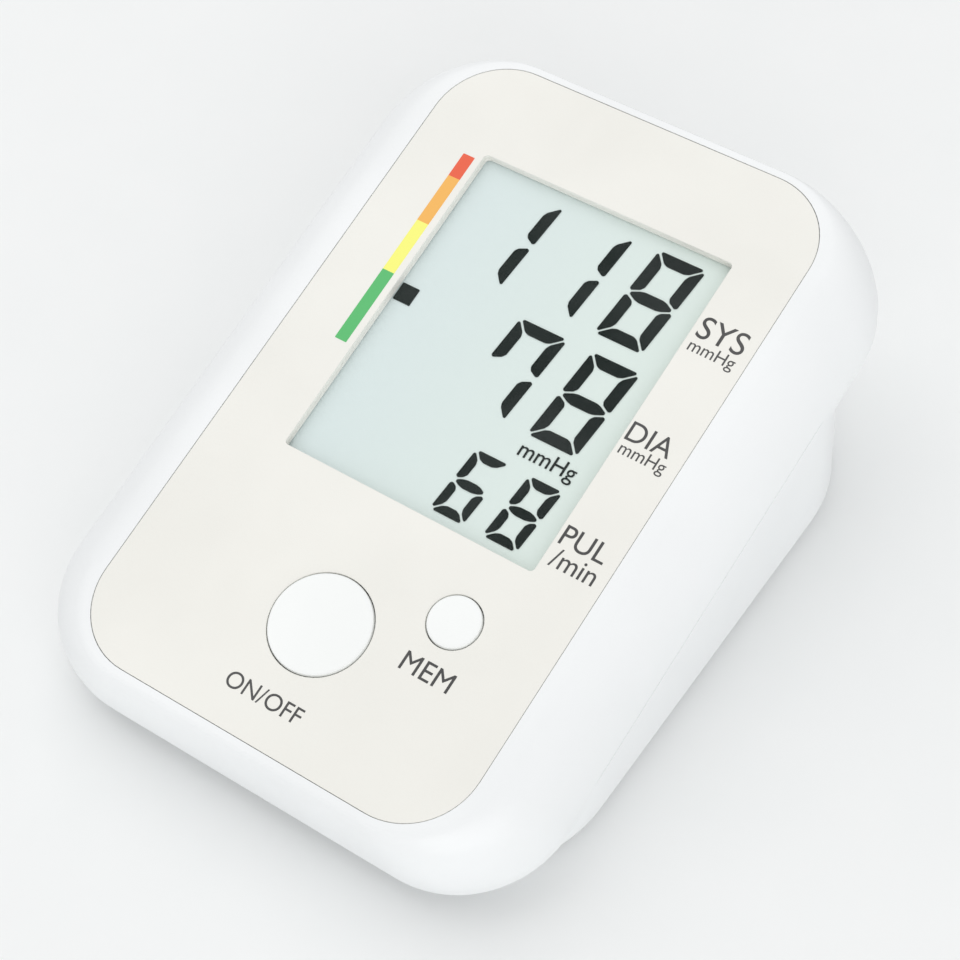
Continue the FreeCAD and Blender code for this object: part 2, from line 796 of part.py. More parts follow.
def pump_cradle(body):
    """Two ribs that carry the pump's sleeve, and two posts that take its strap."""
    reach = f"({SLEEVE_RADIUS} + rib_margin)"
    for x in (SLEEVE_X, f"{SLEEVE_X} + sleeve_length - rib_thick"):
        block(body, (x, f"{x} + rib_thick"), (f"pump_y - {reach}", f"pump_y + {reach}"),
              (FLOOR_TOP, PUMP_Z))
    bore(body, "x", SLEEVE_X, "sleeve_length", ("pump_y", PUMP_Z), f"{SLEEVE_RADIUS} + rib_gap")
    middle = f"({SLEEVE_X} + sleeve_length / 2)"
    for y in STRAP_SCREWS:
        rod(body, "z", FLOOR_TOP, f"{PUMP_Z} - {FLOOR_TOP}", (middle, y), "strap_post_radius")
        bore(body, "z", f"{PUMP_Z} - strap_screw_length", "strap_screw_length", (middle, y),
             "board_screw_radius + screw_gap")


def valve_stand(body):
    """A low stand with two end stops that holds the release valve."""
    low, high = "(valve_y - valve_side / 2)", "(valve_y + valve_side / 2)"
    seat = "(air_height - valve_side / 2)"
    ends = ("valve_x", "(valve_x + valve_length)")
    block(body, ends, (low, high), (FLOOR_TOP, seat))
    for near, far in ((f"{ends[0]} - rib_gap - rib_thick", f"{ends[0]} - rib_gap"),
                      (f"{ends[1]} + rib_gap", f"{ends[1]} + rib_gap + rib_thick")):
        block(body, (near, far), (low, high), (FLOOR_TOP, f"{seat} + valve_plate"))


def face_plate():
    """The pale plate on the sloping face, open for the window and the keys."""
    body = new_body("face_plate", on_deck=True)
    layer(body, "0", "plate_thick", ("plate_width", "plate_length", "plate_radius"), window_shape("0"))
    for radius, x, y in (("on_off_radius", "on_off_x", "on_off_y"), ("mem_radius", "mem_x", "mem_y")):
        bore(body, "z", "-(plate_thick + overrun)", "plate_thick + 2 * overrun", (x, y),
             f"{radius} + key_gap")
    return body


def display_window():
    """The clear lens behind the plate."""
    body = new_body("display_window", on_deck=True)
    layer(body, "plate_thick", "lens_thick", window_shape("lens_lap"))
    return body


def lcd_gasket():
    """The thin foam ring between the lens and the display glass."""
    body = new_body("lcd_gasket", on_deck=True)
    layer(body, "plate_thick + lens_thick", "gasket_thick",
          window_shape("lcd_lap"), window_shape("gasket_lap"))
    return body


def lcd_glass():
    """The display cell: two panes, the front one shorter so that the contact edge is bare."""
    body = new_body("lcd_glass", on_deck=True)
    layer(body, LCD_TOP, "lcd_glass_thick",
          (LCD_WIDTH, f"{LCD_LENGTH} - lcd_ledge / 2", "window_radius", "window_x",
           "window_y + lcd_ledge / 4"))
    layer(body, f"{LCD_TOP} + lcd_glass_thick", "lcd_glass_thick", window_shape("lcd_lap"))
    return body


def lcd_reflector():
    """The pale reflecting sheet on the back of the display cell."""
    body = new_body("lcd_reflector", on_deck=True)
    layer(body, LCD_BOTTOM, "reflector_thick", window_shape("lcd_lap - frame_seat - lcd_gap"))
    return body


def strip_spots():
    """The two places along Y of the contact strips under the display cell."""
    reach = f"({LCD_LENGTH} / 2 - strip_inset - strip_width / 2)"
    return [f"(window_y {way} {reach})" for way in ("-", "+")]


def lcd_frame():
    """The frame that holds the display cell over the board."""
    body = new_body("lcd_frame", on_deck=True)
    top = f"({LCD_BOTTOM} - frame_lip)"
    layer(body, top, f"board_depth - {top}", window_shape("lcd_lap + lcd_gap + frame_wall"))
    opening(body, top, "frame_lip", window_shape("lcd_lap + lcd_gap"))
    opening(body, LCD_BOTTOM, "board_depth", window_shape("lcd_lap - frame_seat"))
    for y in strip_spots():
        profile = flat(body, f"-{LCD_BOTTOM}")
        reach = f"({LCD_WIDTH} / 2 - frame_seat)"
        half = "(strip_width / 2 + strip_gap)"
        rectangle(profile, (f"window_x - {reach}", f"window_x + {reach}"),
                  (f"{y} - {half}", f"{y} + {half}"))
        cut(body, profile, "board_depth")
    return body


def zebra_strips():
    """The two rubber strips that carry the board's contacts up to the display cell."""
    body = new_body("zebra_strips", on_deck=True)
    reach = f"({LCD_WIDTH} / 2 - frame_seat - strip_gap)"
    for y in strip_spots():
        profile = flat(body, "-board_depth")
        rectangle(profile, (f"window_x - {reach}", f"window_x + {reach}"),
                  (f"{y} - strip_width / 2", f"{y} + strip_width / 2"))
        pad(body, profile, f"board_depth - {LCD_BOTTOM}")
    return body


def main_board():
    """The circuit board under the display, with a hole at each boss."""
    body = new_body("main_board", on_deck=True)
    layer(body, "board_depth", "board_thick",
          ("board_width", "board_length", "board_radius", "0", "board_y"))
    for x, y in BOARD_HOLES:
        bore(body, "z", f"-({BOARD_BOTTOM} + overrun)", "board_thick + 2 * overrun", (x, y),
             "board_screw_radius + screw_play")
    return body


def board_chips():
    """The processor, the memory and the pump driver on the board's underside."""
    body = new_body("board_chips", on_deck=True)
    for width, length, thick, x, y in (
        ("processor_side", "processor_side", "processor_thick", "processor_x", "processor_y"),
        ("memory_width", "memory_length", "memory_thick", "memory_x", "memory_y"),
        ("driver_side", "driver_side", "driver_thick", "driver_x", "driver_y"),
    ):
        profile = flat(body, f"-{BOARD_BOTTOM}")
        rectangle(profile, (f"{x} - {width} / 2", f"{x} + {width} / 2"),
                  (f"{y} - {length} / 2", f"{y} + {length} / 2"))
        pad(body, profile, thick, down=True)
    return body


def buzzer():
    """The round beeper on the board's upper side."""
    body = new_body("buzzer", on_deck=True)
    spot = ("buzzer_x", "buzzer_y")
    rod(body, "z", "-board_depth", "buzzer_height", spot, "buzzer_radius")
    bore(body, "z", "-board_depth + buzzer_height / 2", "buzzer_height", spot, "buzzer_hole")
    return body


def key_switch(name, x, y):
    """A push switch on the board, with a well for its plunger."""
    body = new_body(name, on_deck=True)
    half = "switch_side / 2"
    block(body, (f"{x} - {half}", f"{x} + {half}"), (f"{y} - {half}", f"{y} + {half}"),
          ("-board_depth", "-board_depth + switch_height"))
    well = "plunger_sink + key_travel + key_stop_gap"
    bore(body, "z", f"-board_depth + switch_height - ({well})", f"{well} + overrun", (x, y),
         "plunger_radius + plunger_gap")
    return body


def key_plunger(name, x, y):
    """The plunger of a push switch, which goes down with its key."""
    body = new_body(name, on_deck=True)
    rod(body, "z", "-board_depth + switch_height - plunger_sink",
        "plunger_sink + key_travel + key_stop_gap", (x, y), "plunger_radius")
    return body


def key(name, radius, x, y):
    """A round key: a hollow cap, a flange that stops it under the deck, a stem to its switch."""
    body = new_body(name, on_deck=True)
    flange_top = f"({DECK_BOTTOM} + key_seat_gap)"
    flange_bottom = f"({flange_top} + key_flange_thick)"
    inner = f"({radius} - key_wall)"
    ceiling = "(key_proud - key_wall)"
    profile = front(body, y)
    profile.setExpression("AttachmentOffset.Base.x", bound(x))
    outline(profile, [
        ("0", "key_proud"),
        (f"{radius} - key_round", "key_proud"),
        (f"{radius} - key_round * {KEY_EDGE_SHARE}", f"key_proud - key_round * {KEY_EDGE_SHARE}"),
        (radius, "key_proud - key_round"),
        (radius, f"-{flange_top}"),
        (f"{radius} + key_flange", f"-{flange_top}"),
        (f"{radius} + key_flange", f"-{flange_bottom}"),
        (inner, f"-{flange_bottom}"),
        (inner, ceiling),
        ("stem_radius", ceiling),
        ("stem_radius", f"-{PLUNGER_TOP}"),
        ("0", f"-{PLUNGER_TOP}"),
    ])
    revolve(body, profile)
    return body


def battery_door():
    """The sliding door: a floor panel with an upright end, side tongues and a ribbed grip."""
    body = new_body("battery_door")
    low, high = "foot_stand", "(foot_stand + door_thick)"
    panel = "(door_width / 2 - door_gap)"
    lip = "(bay_width / 2 - door_gap)"
    near = f"({BAY_FRONT} + door_gap)"
    block(body, (f"-{panel}", panel), (near, BASE_REAR), (low, high))
    block(body, (f"-{lip}", lip), (f"{BASE_REAR} - wall + door_gap", BASE_REAR),
          (low, "foot_stand + door_rise"))
    edge = value(BASE_REAR)
    corner = lies_at("foot_stand")
    round_edges(body, "bottom_round", lambda line: corner(line) and line.BoundBox.YMin > edge - TINY)
    ledge = f"({FLOOR_TOP} + tongue_gap)"
    reach = "(door_width / 2 + tongue_reach)"
    root = "(door_width / 2 - door_gap - tongue_root)"
    for x in ((f"-{reach}", f"-{root}"), (root, reach)):
        inner = (f"-{panel}", f"-{root}") if x[0].startswith("-") else (root, panel)
        block(body, inner, (near, f"{BASE_REAR} - wall"),
              (f"{high} - door_gap", f"{ledge} + tongue_thick"))
        block(body, x, (near, f"{BAY_REAR}"), (ledge, f"{ledge} + tongue_thick"))
    for step in range(GRIP_COUNT):
        y = f"({BASE_REAR} - grip_inset - {step} * grip_pitch)"
        slot(body, ("-grip_width / 2", "grip_width / 2"), (f"{y} - grip_groove", y),
             ("0", "foot_stand + grip_depth"))
    return body


def cell_x(step):
    """Place across the bay of a cell."""
    return f"({step} * cell_pitch)"


def tab_span(x, gap):
    """Width across X of a solder tab, with a gap on both sides."""
    half = f"(tab_width / 2 + {gap})"
    return f"{x} - {half}", f"{x} + {half}"


def battery_cells():
    """The four cells, laid side by side with their nubs turned to and fro."""
    body = new_body("battery_cells")
    for order, step in enumerate(CELL_SHARES):
        forward = order % 2 == 0
        start, way = (BAY_FRONT, "1 *") if forward else (BAY_REAR, "-1 *")
        tip = "(contact_thick + contact_gap)"
        shoulder, base = f"({tip} + nub_length)", f"({tip} + nub_length + cell_length)"
        profile = flat(body, CELL_Z)
        profile.setExpression("AttachmentOffset.Base.x", bound(cell_x(step)))
        corners = [("0", tip), ("nub_radius", tip), ("nub_radius", shoulder), ("cell_radius", shoulder),
                   ("cell_radius", base), ("0", base)]
        outline(profile, [(x, f"{start} + {way} {along}") for x, along in corners])
        revolve(body, profile)
    return body


def battery_contacts():
    """The flat contact plates on the bay's two end walls."""
    body = new_body("battery_contacts")
    half = "contact_side / 2"
    for step in CELL_SHARES:
        for y in ((BAY_FRONT, f"{BAY_FRONT} + contact_thick"), (f"{BAY_REAR} - contact_thick", BAY_REAR)):
            block(body, (f"{cell_x(step)} - {half}", f"{cell_x(step)} + {half}"), y,
                  (f"{CELL_Z} - {half}", f"{CELL_Z} + {half}"))
    for x in TAB_PLACES:
        block(body, tab_span(x, "0"), (f"{BAY_FRONT} - bay_wall - tab_reach", BAY_FRONT),
              (f"{CELL_Z} - contact_thick / 2", f"{CELL_Z} + contact_thick / 2"))
    return body


def coil(turns, wide, narrow, length, wire):
    """A tapered coil spring along +Y from the origin, of half turn arcs."""
    def spot(half_turns):
        share = half_turns / (2 * turns)
        radius = wide + (narrow - wide) * share
        heading = FreeCAD.Rotation(FreeCAD.Vector(0, 1, 0), 180 * half_turns)
        return heading.multVec(FreeCAD.Vector(radius, 0, 0)) + FreeCAD.Vector(0, length * share, 0)

    arcs = [Part.Arc(spot(step), spot(step + 0.5), spot(step + 1)).toShape() for step in range(2 * turns)]
    path = Part.Wire(arcs)
    facing = FreeCAD.Rotation(FreeCAD.Vector(0, 0, 1), arcs[0].tangentAt(arcs[0].FirstParameter))
    ring = []
    for side_turn in range(WIRE_SIDES + 1):
        angle = 4 * QUARTER_TURN * side_turn / WIRE_SIDES
        edge = FreeCAD.Vector(wire * math.cos(angle), wire * math.sin(angle), 0)
        ring.append(spot(0) + facing.multVec(edge))
    gaps = [spot(step / 2).distanceToPoint(spot(step / 2 + 2)) for step in range(4 * turns - 3)]
    print("spring's least gap between turns", round(min(gaps) - 2 * wire, 2), "mm")
    sweep = Part.BRepOffsetAPI.MakePipeShell(path)
    sweep.add(Part.makePolygon(ring))
    sweep.build()
    sweep.makeSolid()
    return sweep.shape()


def battery_springs():
    """The coil springs that press on the flat ends of the cells."""
    wire = value("spring_wire")
    room = value("bay_length - 2 * contact_thick - contact_gap - nub_length - cell_length")
    length = room - 2 * (wire + value("contact_gap") / 2)
    one = coil(SPRING_TURNS, value("spring_wide"), value("spring_narrow"), length, wire)
    springs = []
    for order, step in enumerate(CELL_SHARES):
        forward = order % 2 == 0
        spring = one.copy()
        if forward:
            spring.rotate(FreeCAD.Vector(), FreeCAD.Vector(0, 0, 1), 180)
        inset = value("contact_thick + contact_gap / 2") + wire
        y = value(BAY_REAR) - inset if forward else value(BAY_FRONT) + inset
        spring.translate(FreeCAD.Vector(value(cell_x(step)), y, value(CELL_Z)))
        springs.append(spring)
    group = doc.addObject("Part::Feature", "battery_springs")
    group.Label = "battery_springs"
    group.Shape = Part.Compound(springs)
    group.Placement = FreeCAD.Placement()
    return group


def rubber_feet():
    """The four soft feet in their recesses."""
    body = new_body("rubber_feet")
    for x, y in FEET:
        rod(body, "z", "0", "foot_thick", (x, y), "foot_radius")
    return body


def screw(body, seat, spot, radius, length, head_radius, head_thick):
    """A screw that points up, with its head under a seat."""
    rod(body, "z", f"{seat} - ({head_thick})", head_thick, spot, head_radius)
    rod(body, "z", seat, length, spot, radius)


def case_screws():
    """The four screws that close the case from below."""
    body = new_body("case_screws")
    for x, y in POSTS:
        screw(body, f"({slope_z(y, PARTING)} - post_skin)", (x, y), "screw_radius", "screw_length",
              "screw_head_radius", "screw_head_thick")
    return body


def board_screws():
    """The four screws that hold the board to the top shell."""
    body = new_body("board_screws", on_deck=True)
    for spot in BOARD_HOLES:
        screw(body, f"-{BOARD_BOTTOM}", spot, "board_screw_radius", "board_screw_length",
              "board_head_radius", "board_head_thick")
    return body


def air_jack():
    """The socket in the left wall that takes the plug of the cuff's hose."""
    body = new_body("air_jack")
    face = f"(-{BASE_WIDTH} / 2 - jack_proud)"
    spot = ("jack_y", "air_height")
    rod(body, "x", face, "jack_rim_thick", spot, "jack_rim_radius")
    rod(body, "x", face, "jack_length", spot, "jack_radius")
    bore(body, "x", face, "jack_bore_depth", spot, "jack_bore")
    nipple(body, "y", "jack_y", "-1", "jack_radius", ("tee_x", "air_height"))
    return body


def nipple(body, axis, middle, way, reach, spot):
    """A hose nipple that stands out from a middle, either way along an axis."""
    length = f"({reach} + nipple_length)"
    start = f"({middle})" if way == "1" else f"({middle} - {length})"
    rod(body, axis, start, length, spot, "nipple_radius")


def air_tee():
    """The four way fitting that joins pump, valve, sensor and socket."""
    body = new_body("air_tee")
    rod(body, "z", "air_height - tee_reach", "2 * tee_reach", ("tee_x", "pump_y"), "tee_radius")
    nipple(body, "x", "tee_x", "1", "tee_reach", ("pump_y", "air_height"))
    nipple(body, "y", "pump_y", "1", "tee_reach", ("tee_x", "air_height"))
    nipple(body, "y", "pump_y", "-1", "tee_reach", ("tee_x", "air_height"))
    nipple(body, "z", "air_height", "1", "tee_reach", ("tee_x", "pump_y"))
    reach = "(tee_reach + nipple_length)"
    bore(body, "x", "tee_x", reach, ("pump_y", "air_height"), "nipple_bore")
    bore(body, "y", f"pump_y - {reach}", f"2 * {reach}", ("tee_x", "air_height"), "nipple_bore")
    bore(body, "z", "air_height", reach, ("tee_x", "pump_y"), "nipple_bore")
    return body


def straight_tube(name, axis, ends, spot):
    """A straight soft tube between two nipples."""
    body = new_body(name)
    rod(body, axis, ends[0], f"({ends[1]}) - ({ends[0]})", spot, TUBE_RADIUS, TUBE_BORE)
    return body


# How a bend turns on its page: for a run that goes up (1) or down (-1) and then right (1)
# or left (-1), the quarter turns its arc spans and the arc's ends at the two runs.
BENDS = {
    (1, 1): ((1, 2), (2, 1)),
    (-1, 1): ((2, 3), (1, 2)),
    (1, -1): ((0, 1), (1, 2)),
    (-1, -1): ((3, 4), (2, 1)),
}


def bent_route(route, points, bend):
    """Draw a run that starts upright on its page and turns once, with a round corner."""
    (x, start), (end, y) = points
    radius = value(bend)
    rise = 1 if value(y) > value(start) else -1
    way = 1 if value(end) > value(x) else -1
    corner = FreeCAD.Vector(value(x), value(y), 0)
    before = corner - FreeCAD.Vector(0, rise * radius, 0)
    after = corner + FreeCAD.Vector(way * radius, 0, 0)
    turn, ends = BENDS[rise, way]
    hub = before + FreeCAD.Vector(way * radius, 0, 0)
    ring = Part.Circle(hub, FreeCAD.Vector(0, 0, 1), radius)
    first = route.addGeometry(Part.LineSegment(FreeCAD.Vector(value(x), value(start), 0), before))
    arc = route.addGeometry(Part.ArcOfCircle(ring, turn[0] * QUARTER_TURN, turn[1] * QUARTER_TURN))
    last = route.addGeometry(Part.LineSegment(after, FreeCAD.Vector(value(end), value(y), 0)))
    route.addConstraint(Sketcher.Constraint("Tangent", first, 2, arc, ends[0]))
    route.addConstraint(Sketcher.Constraint("Tangent", arc, ends[1], last, 1))
    route.addConstraint(Sketcher.Constraint("Vertical", first))
    route.addConstraint(Sketcher.Constraint("Horizontal", last))
    drive(route, ("Radius", arc), bend)
    pin_point(route, first, 1, x, start)
    pin_point(route, last, 2, end, y)
    return route


def sweep(body, route, section, hollow=False):
    """Run a section along a bent route, to add a form or to hollow one out."""
    kind = "PartDesign::SubtractivePipe" if hollow else "PartDesign::AdditivePipe"
    feature = body.newObject(kind, body.Name + "_sweep")
    feature.Profile = section
    feature.Spine = (route, ["Edge1", "Edge2", "Edge3"])
    return settle(body, feature)


def bent_tube(name, page, start, spot, points):
    """A soft tube that leaves a nipple and turns once."""
    body = new_body(name)
    route = bent_route(page(body), points, "tube_bend")
    for radius, hollow in ((TUBE_RADIUS, False), (TUBE_BORE, True)):
        section = start(body)
        prism(section, radius, TUBE_SIDES, *spot)
        sweep(body, route, section, hollow)
    return body


def air_tubes():
    """The soft tubes from the fitting to the pump, the socket, the valve and the sensor."""
    port = "(tee_reach + tube_clear)"
    sensor_end = "(sensor_x - sensor_width / 2 - tube_clear)"
    valve_end = "(valve_x - tube_clear)"
    starts = {"valve_tube": f"(pump_y - {port})", "sensor_tube": f"(air_height + {port})"}
    return [
        straight_tube("pump_tube", "x", (f"tee_x + {port}", "pump_x - tube_clear"),
                      ("pump_y", "air_height")),
        straight_tube("jack_tube", "y", (f"pump_y + {port}", "jack_y - jack_radius - tube_clear"),
                      ("tee_x", "air_height")),
        bent_tube("valve_tube", lambda body: flat(body, "air_height"),
                  lambda body: front(body, starts["valve_tube"]), ("tee_x", "air_height"),
                  (("tee_x", starts["valve_tube"]), (valve_end, "valve_y"))),
        bent_tube("sensor_tube", lambda body: front(body, "pump_y"),
                  lambda body: flat(body, starts["sensor_tube"]), ("tee_x", "pump_y"),
                  (("tee_x", starts["sensor_tube"]), (sensor_end, sensor_z()))),
    ]


def lead_top(y):
    """Height at which a lead meets the board's underside, over a table Y."""
    return slope_z(y, f"({BOARD_BOTTOM} + lead_gap)")


def battery_leads():
    """The two leads from the bay's solder tabs up to the board."""
    body = new_body("battery_leads")
    y = f"({BAY_FRONT} - bay_wall - tab_reach - lead_run)"
    for x in TAB_PLACES:
        ends = ((y, lead_top(y)), (f"{y} + lead_run", CELL_Z))
        route = bent_route(side(body, x), ends, "lead_bend")
        section = flat(body, lead_top(y))
        prism(section, "lead_radius", LEAD_SIDES, x, y)
        sweep(body, route, section)
    return body


def motor_leads():
    """The two leads from the motor's rear end up to the board."""
    body = new_body("motor_leads")
    x = f"({MOTOR_X} + motor_length + lead_run)"
    for way in ("-", "+"):
        y = f"(pump_y {way} lead_spread)"
        ends = ((x, lead_top(y)), (f"{x} - lead_run", PUMP_Z))
        route = bent_route(front(body, y), ends, "lead_bend")
        section = flat(body, lead_top(y))
        prism(section, "lead_radius", LEAD_SIDES, x, y)
        sweep(body, route, section)
    return body


def valve_leads():
    """The two leads that stand on the valve's terminal block and end at the board."""
    body = new_body("valve_leads")
    x = "(valve_x + valve_length + terminal_thick / 2)"
    for way in ("-", "+"):
        y = f"(valve_y {way} terminal_width / 4)"
        foot = "(air_height + valve_side / 2)"
        rod(body, "z", foot, f"{lead_top(y)} - {foot}", (x, y), "lead_radius")
    return body


def sensor_depth():
    """Depth of the middle of the pressure sensor under the plate's face."""
    return f"({BOARD_BOTTOM} + sensor_thick / 2)"


def sensor_z():
    """Table height of the sensor's nipple, over the pump's axis."""
    return slope_z("pump_y", sensor_depth())


def pressure_sensor():
    """The pressure sensor under the board, with its nipple to the left."""
    body = new_body("pressure_sensor", on_deck=True)
    along = f"((pump_y - {DECK_Y} - {sensor_depth()} * sin(tilt_angle)) / cos(tilt_angle))"
    block(body, ("sensor_x - sensor_width / 2", "sensor_x + sensor_width / 2"),
          (f"{along} - sensor_length / 2", f"{along} + sensor_length / 2"),
          (f"-{BOARD_BOTTOM} - sensor_thick", f"-{BOARD_BOTTOM}"))
    length = "(sensor_width / 2 + nipple_length)"
    rod(body, "x", f"sensor_x - {length}", length, (along, f"-{sensor_depth()}"), "nipple_radius")
    return body


def pump_head():
    """The pump's head: a cup that houses the crank, with its outlet nipple on the left."""
    body = new_body("pump_head")
    axis = ("pump_y", PUMP_Z)
    rod(body, "x", "pump_x", "head_length", axis, "head_radius")
    bore(body, "x", "pump_x + head_block", "head_length", axis, "head_radius - head_wall")
    rod(body, "x", "pump_x - nipple_length", "nipple_length + head_wall", ("pump_y", "air_height"),
        "nipple_radius")
    return body


def pump_motor():
    """The motor can, with a bearing boss and a bore for the shaft."""
    body = new_body("pump_motor")
    axis = ("pump_y", PUMP_Z)
    rod(body, "x", MOTOR_X, "motor_length", axis, "motor_radius")
    rod(body, "x", f"{MOTOR_X} + motor_length", "motor_boss_length", axis, "motor_boss_radius")
    bore(body, "x", MOTOR_X, "motor_bore_depth", axis, "shaft_radius + shaft_gap")
    return body


def pump_rotor():
    """The motor's shaft with the crank that drives the pump."""
    body = new_body("pump_rotor")
    crank_end = f"({MOTOR_X} - crank_gap)"
    axis = ("pump_y", PUMP_Z)
    rod(body, "x", f"{crank_end} - crank_thick", "crank_thick", axis, "crank_radius")
    rod(body, "x", f"{crank_end} - crank_thick / 2", "crank_thick / 2 + motor_bore_depth", axis,
        "shaft_radius")
    rod(body, "x", f"{crank_end} - crank_thick - crank_pin_length", "crank_pin_length + crank_thick / 2",
        ("pump_y", f"{PUMP_Z} + crank_throw"), "shaft_radius")
    return body


def pump_sleeve():
    """The soft rubber sleeve that keeps the motor's hum out of the case."""
    body = new_body("pump_sleeve")
    rod(body, "x", SLEEVE_X, "sleeve_length", ("pump_y", PUMP_Z), SLEEVE_RADIUS, "motor_radius + tube_fit")
    return body


def pump_strap():
    """The bridge over the pump's sleeve, screwed down at both ends."""
    body = new_body("pump_strap")
    middle = f"({SLEEVE_X} + sleeve_length / 2)"
    x = (f"{middle} - strap_width / 2", f"{middle} + strap_width / 2")
    inner, outer = f"({SLEEVE_RADIUS} + rib_gap)", f"({SLEEVE_RADIUS} + rib_gap + strap_thick)"
    rod(body, "x", x[0], "strap_width", ("pump_y", PUMP_Z), outer, inner)
    slot(body, x, (f"pump_y - {outer} - overrun", f"pump_y + {outer} + overrun"),
         (f"{PUMP_Z} - {outer} - overrun", PUMP_Z))
    reach = f"({SLEEVE_RADIUS} + strap_lug + strap_post_radius)"
    lugs = ((f"pump_y - {reach}", f"pump_y - {inner} - strap_thick / 2"),
            (f"pump_y + {inner} + strap_thick / 2", f"pump_y + {reach}"))
    for y, screw_y in zip(lugs, STRAP_SCREWS):
        block(body, x, y, (PUMP_Z, f"{PUMP_Z} + strap_thick"))
        bore(body, "z", f"{PUMP_Z} - overrun", "strap_thick + 2 * overrun", (middle, screw_y),
             "board_screw_radius + screw_play")
    return body


def strap_screws():
    """The two screws of the pump's strap, driven from above."""
    body = new_body("strap_screws")
    middle = f"({SLEEVE_X} + sleeve_length / 2)"
    seat = f"({PUMP_Z} + strap_thick)"
    for y in STRAP_SCREWS:
        rod(body, "z", seat, "board_head_thick", (middle, y), "board_head_radius")
        length = "(strap_screw_length + strap_thick - screw_play)"
        rod(body, "z", f"{seat} - {length}", length, (middle, y), "board_screw_radius")
    return body


def release_valve():
    """The solenoid valve: a bent steel yoke round a coil, with its nipple to the left."""
    body = new_body("release_valve")
    ends = ("valve_x", "(valve_x + valve_length)")
    low, high = "(valve_y - valve_side / 2)", "(valve_y + valve_side / 2)"
    seat, top = "(air_height - valve_side / 2)", "(air_height + valve_side / 2)"
    block(body, ends, (low, high), (seat, f"{seat} + valve_plate"))
    for x in ((ends[0], f"{ends[0]} + valve_plate"), (f"{ends[1]} - valve_plate", ends[1])):
        block(body, x, (low, high), (seat, top))
    spot = ("valve_y", "air_height")
    rod(body, "x", ends[0], "valve_length", spot, "coil_radius")
    rod(body, "x", "valve_x - nipple_length", "nipple_length + valve_plate", spot, "nipple_radius")
    block(body, (ends[1], f"{ends[1]} + terminal_thick"),
          ("valve_y - terminal_width / 2", "valve_y + terminal_width / 2"),
          (f"{top} - terminal_height", top))
    well = "(armature_length - armature_proud + armature_travel + key_stop_gap)"
    bore(body, "x", f"{ends[1]} - {well}", f"{well} + overrun", spot, "armature_radius + armature_gap")
    return body


def valve_armature():
    """The steel core that the coil draws in."""
    body = new_body("valve_armature")
    end = "(valve_x + valve_length + armature_proud)"
    rod(body, "x", f"{end} - armature_length", "armature_length", ("valve_y", "air_height"),
        "armature_radius")
    return body


def build():
    """Make every sub-part."""
    parts = [
        upper_case(), lower_case(), face_plate(),
        display_window(), lcd_gasket(), lcd_glass(), lcd_reflector(), lcd_frame(), zebra_strips(),
        main_board(), board_chips(), buzzer(), board_screws(),
        battery_door(), battery_cells(), battery_contacts(), battery_springs(),
        rubber_feet(), case_screws(),
        air_jack(), air_tee(), pressure_sensor(),
        pump_head(), pump_motor(), pump_rotor(), pump_sleeve(), pump_strap(), strap_screws(),
        release_valve(), valve_armature(),
        battery_leads(), motor_leads(), valve_leads(),
    ]
    for name, radius, x, y in (("on_off", "on_off_radius", "on_off_x", "on_off_y"),
                               ("mem", "mem_radius", "mem_x", "mem_y")):
        parts.append(key(name + "_button", radius, x, y))
        parts.append(key_plunger(name + "_plunger", x, y))
        parts.append(key_switch(name + "_switch", x, y))
    return parts + air_tubes()


def check(parts):
    """Stop where any feature failed or any sub-part's shape is not sound."""
    doc.recompute()
    for item in doc.Objects:
        if "Invalid" in item.State or "Error" in item.State:
            raise ValueError(f"{item.Label}: {item.State}")
    for part in parts:
        if part.Shape.isNull() or not part.Shape.isValid():
            raise ValueError(f"{part.Label}: shape is not sound")


def write(parts):
    """Write each sub-part to its own file."""
    os.makedirs("parts", exist_ok=True)
    for part in parts:
        part.Shape.exportStep(f"parts/{part.Label}.step")
        print(part.Label, len(part.Shape.Solids), "solids", round(part.Shape.Volume, 1), "mm3")


sub_parts = build()
check(sub_parts)
write(sub_parts)
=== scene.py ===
# %% [markdown]
# # A desk blood pressure monitor
# The construction of this monitor is already finished: a wedge shaped case, a sloping face with a
# display behind a clear lens, two keys, and an air pump inside. It is loaded as a fixed frame. This
# lesson gives every surface its finish and models the small printed and moulded things that a
# construction leaves out.

# %% Load the frame
import json
import math

import bmesh
import bpy
from mathutils import Matrix, Vector

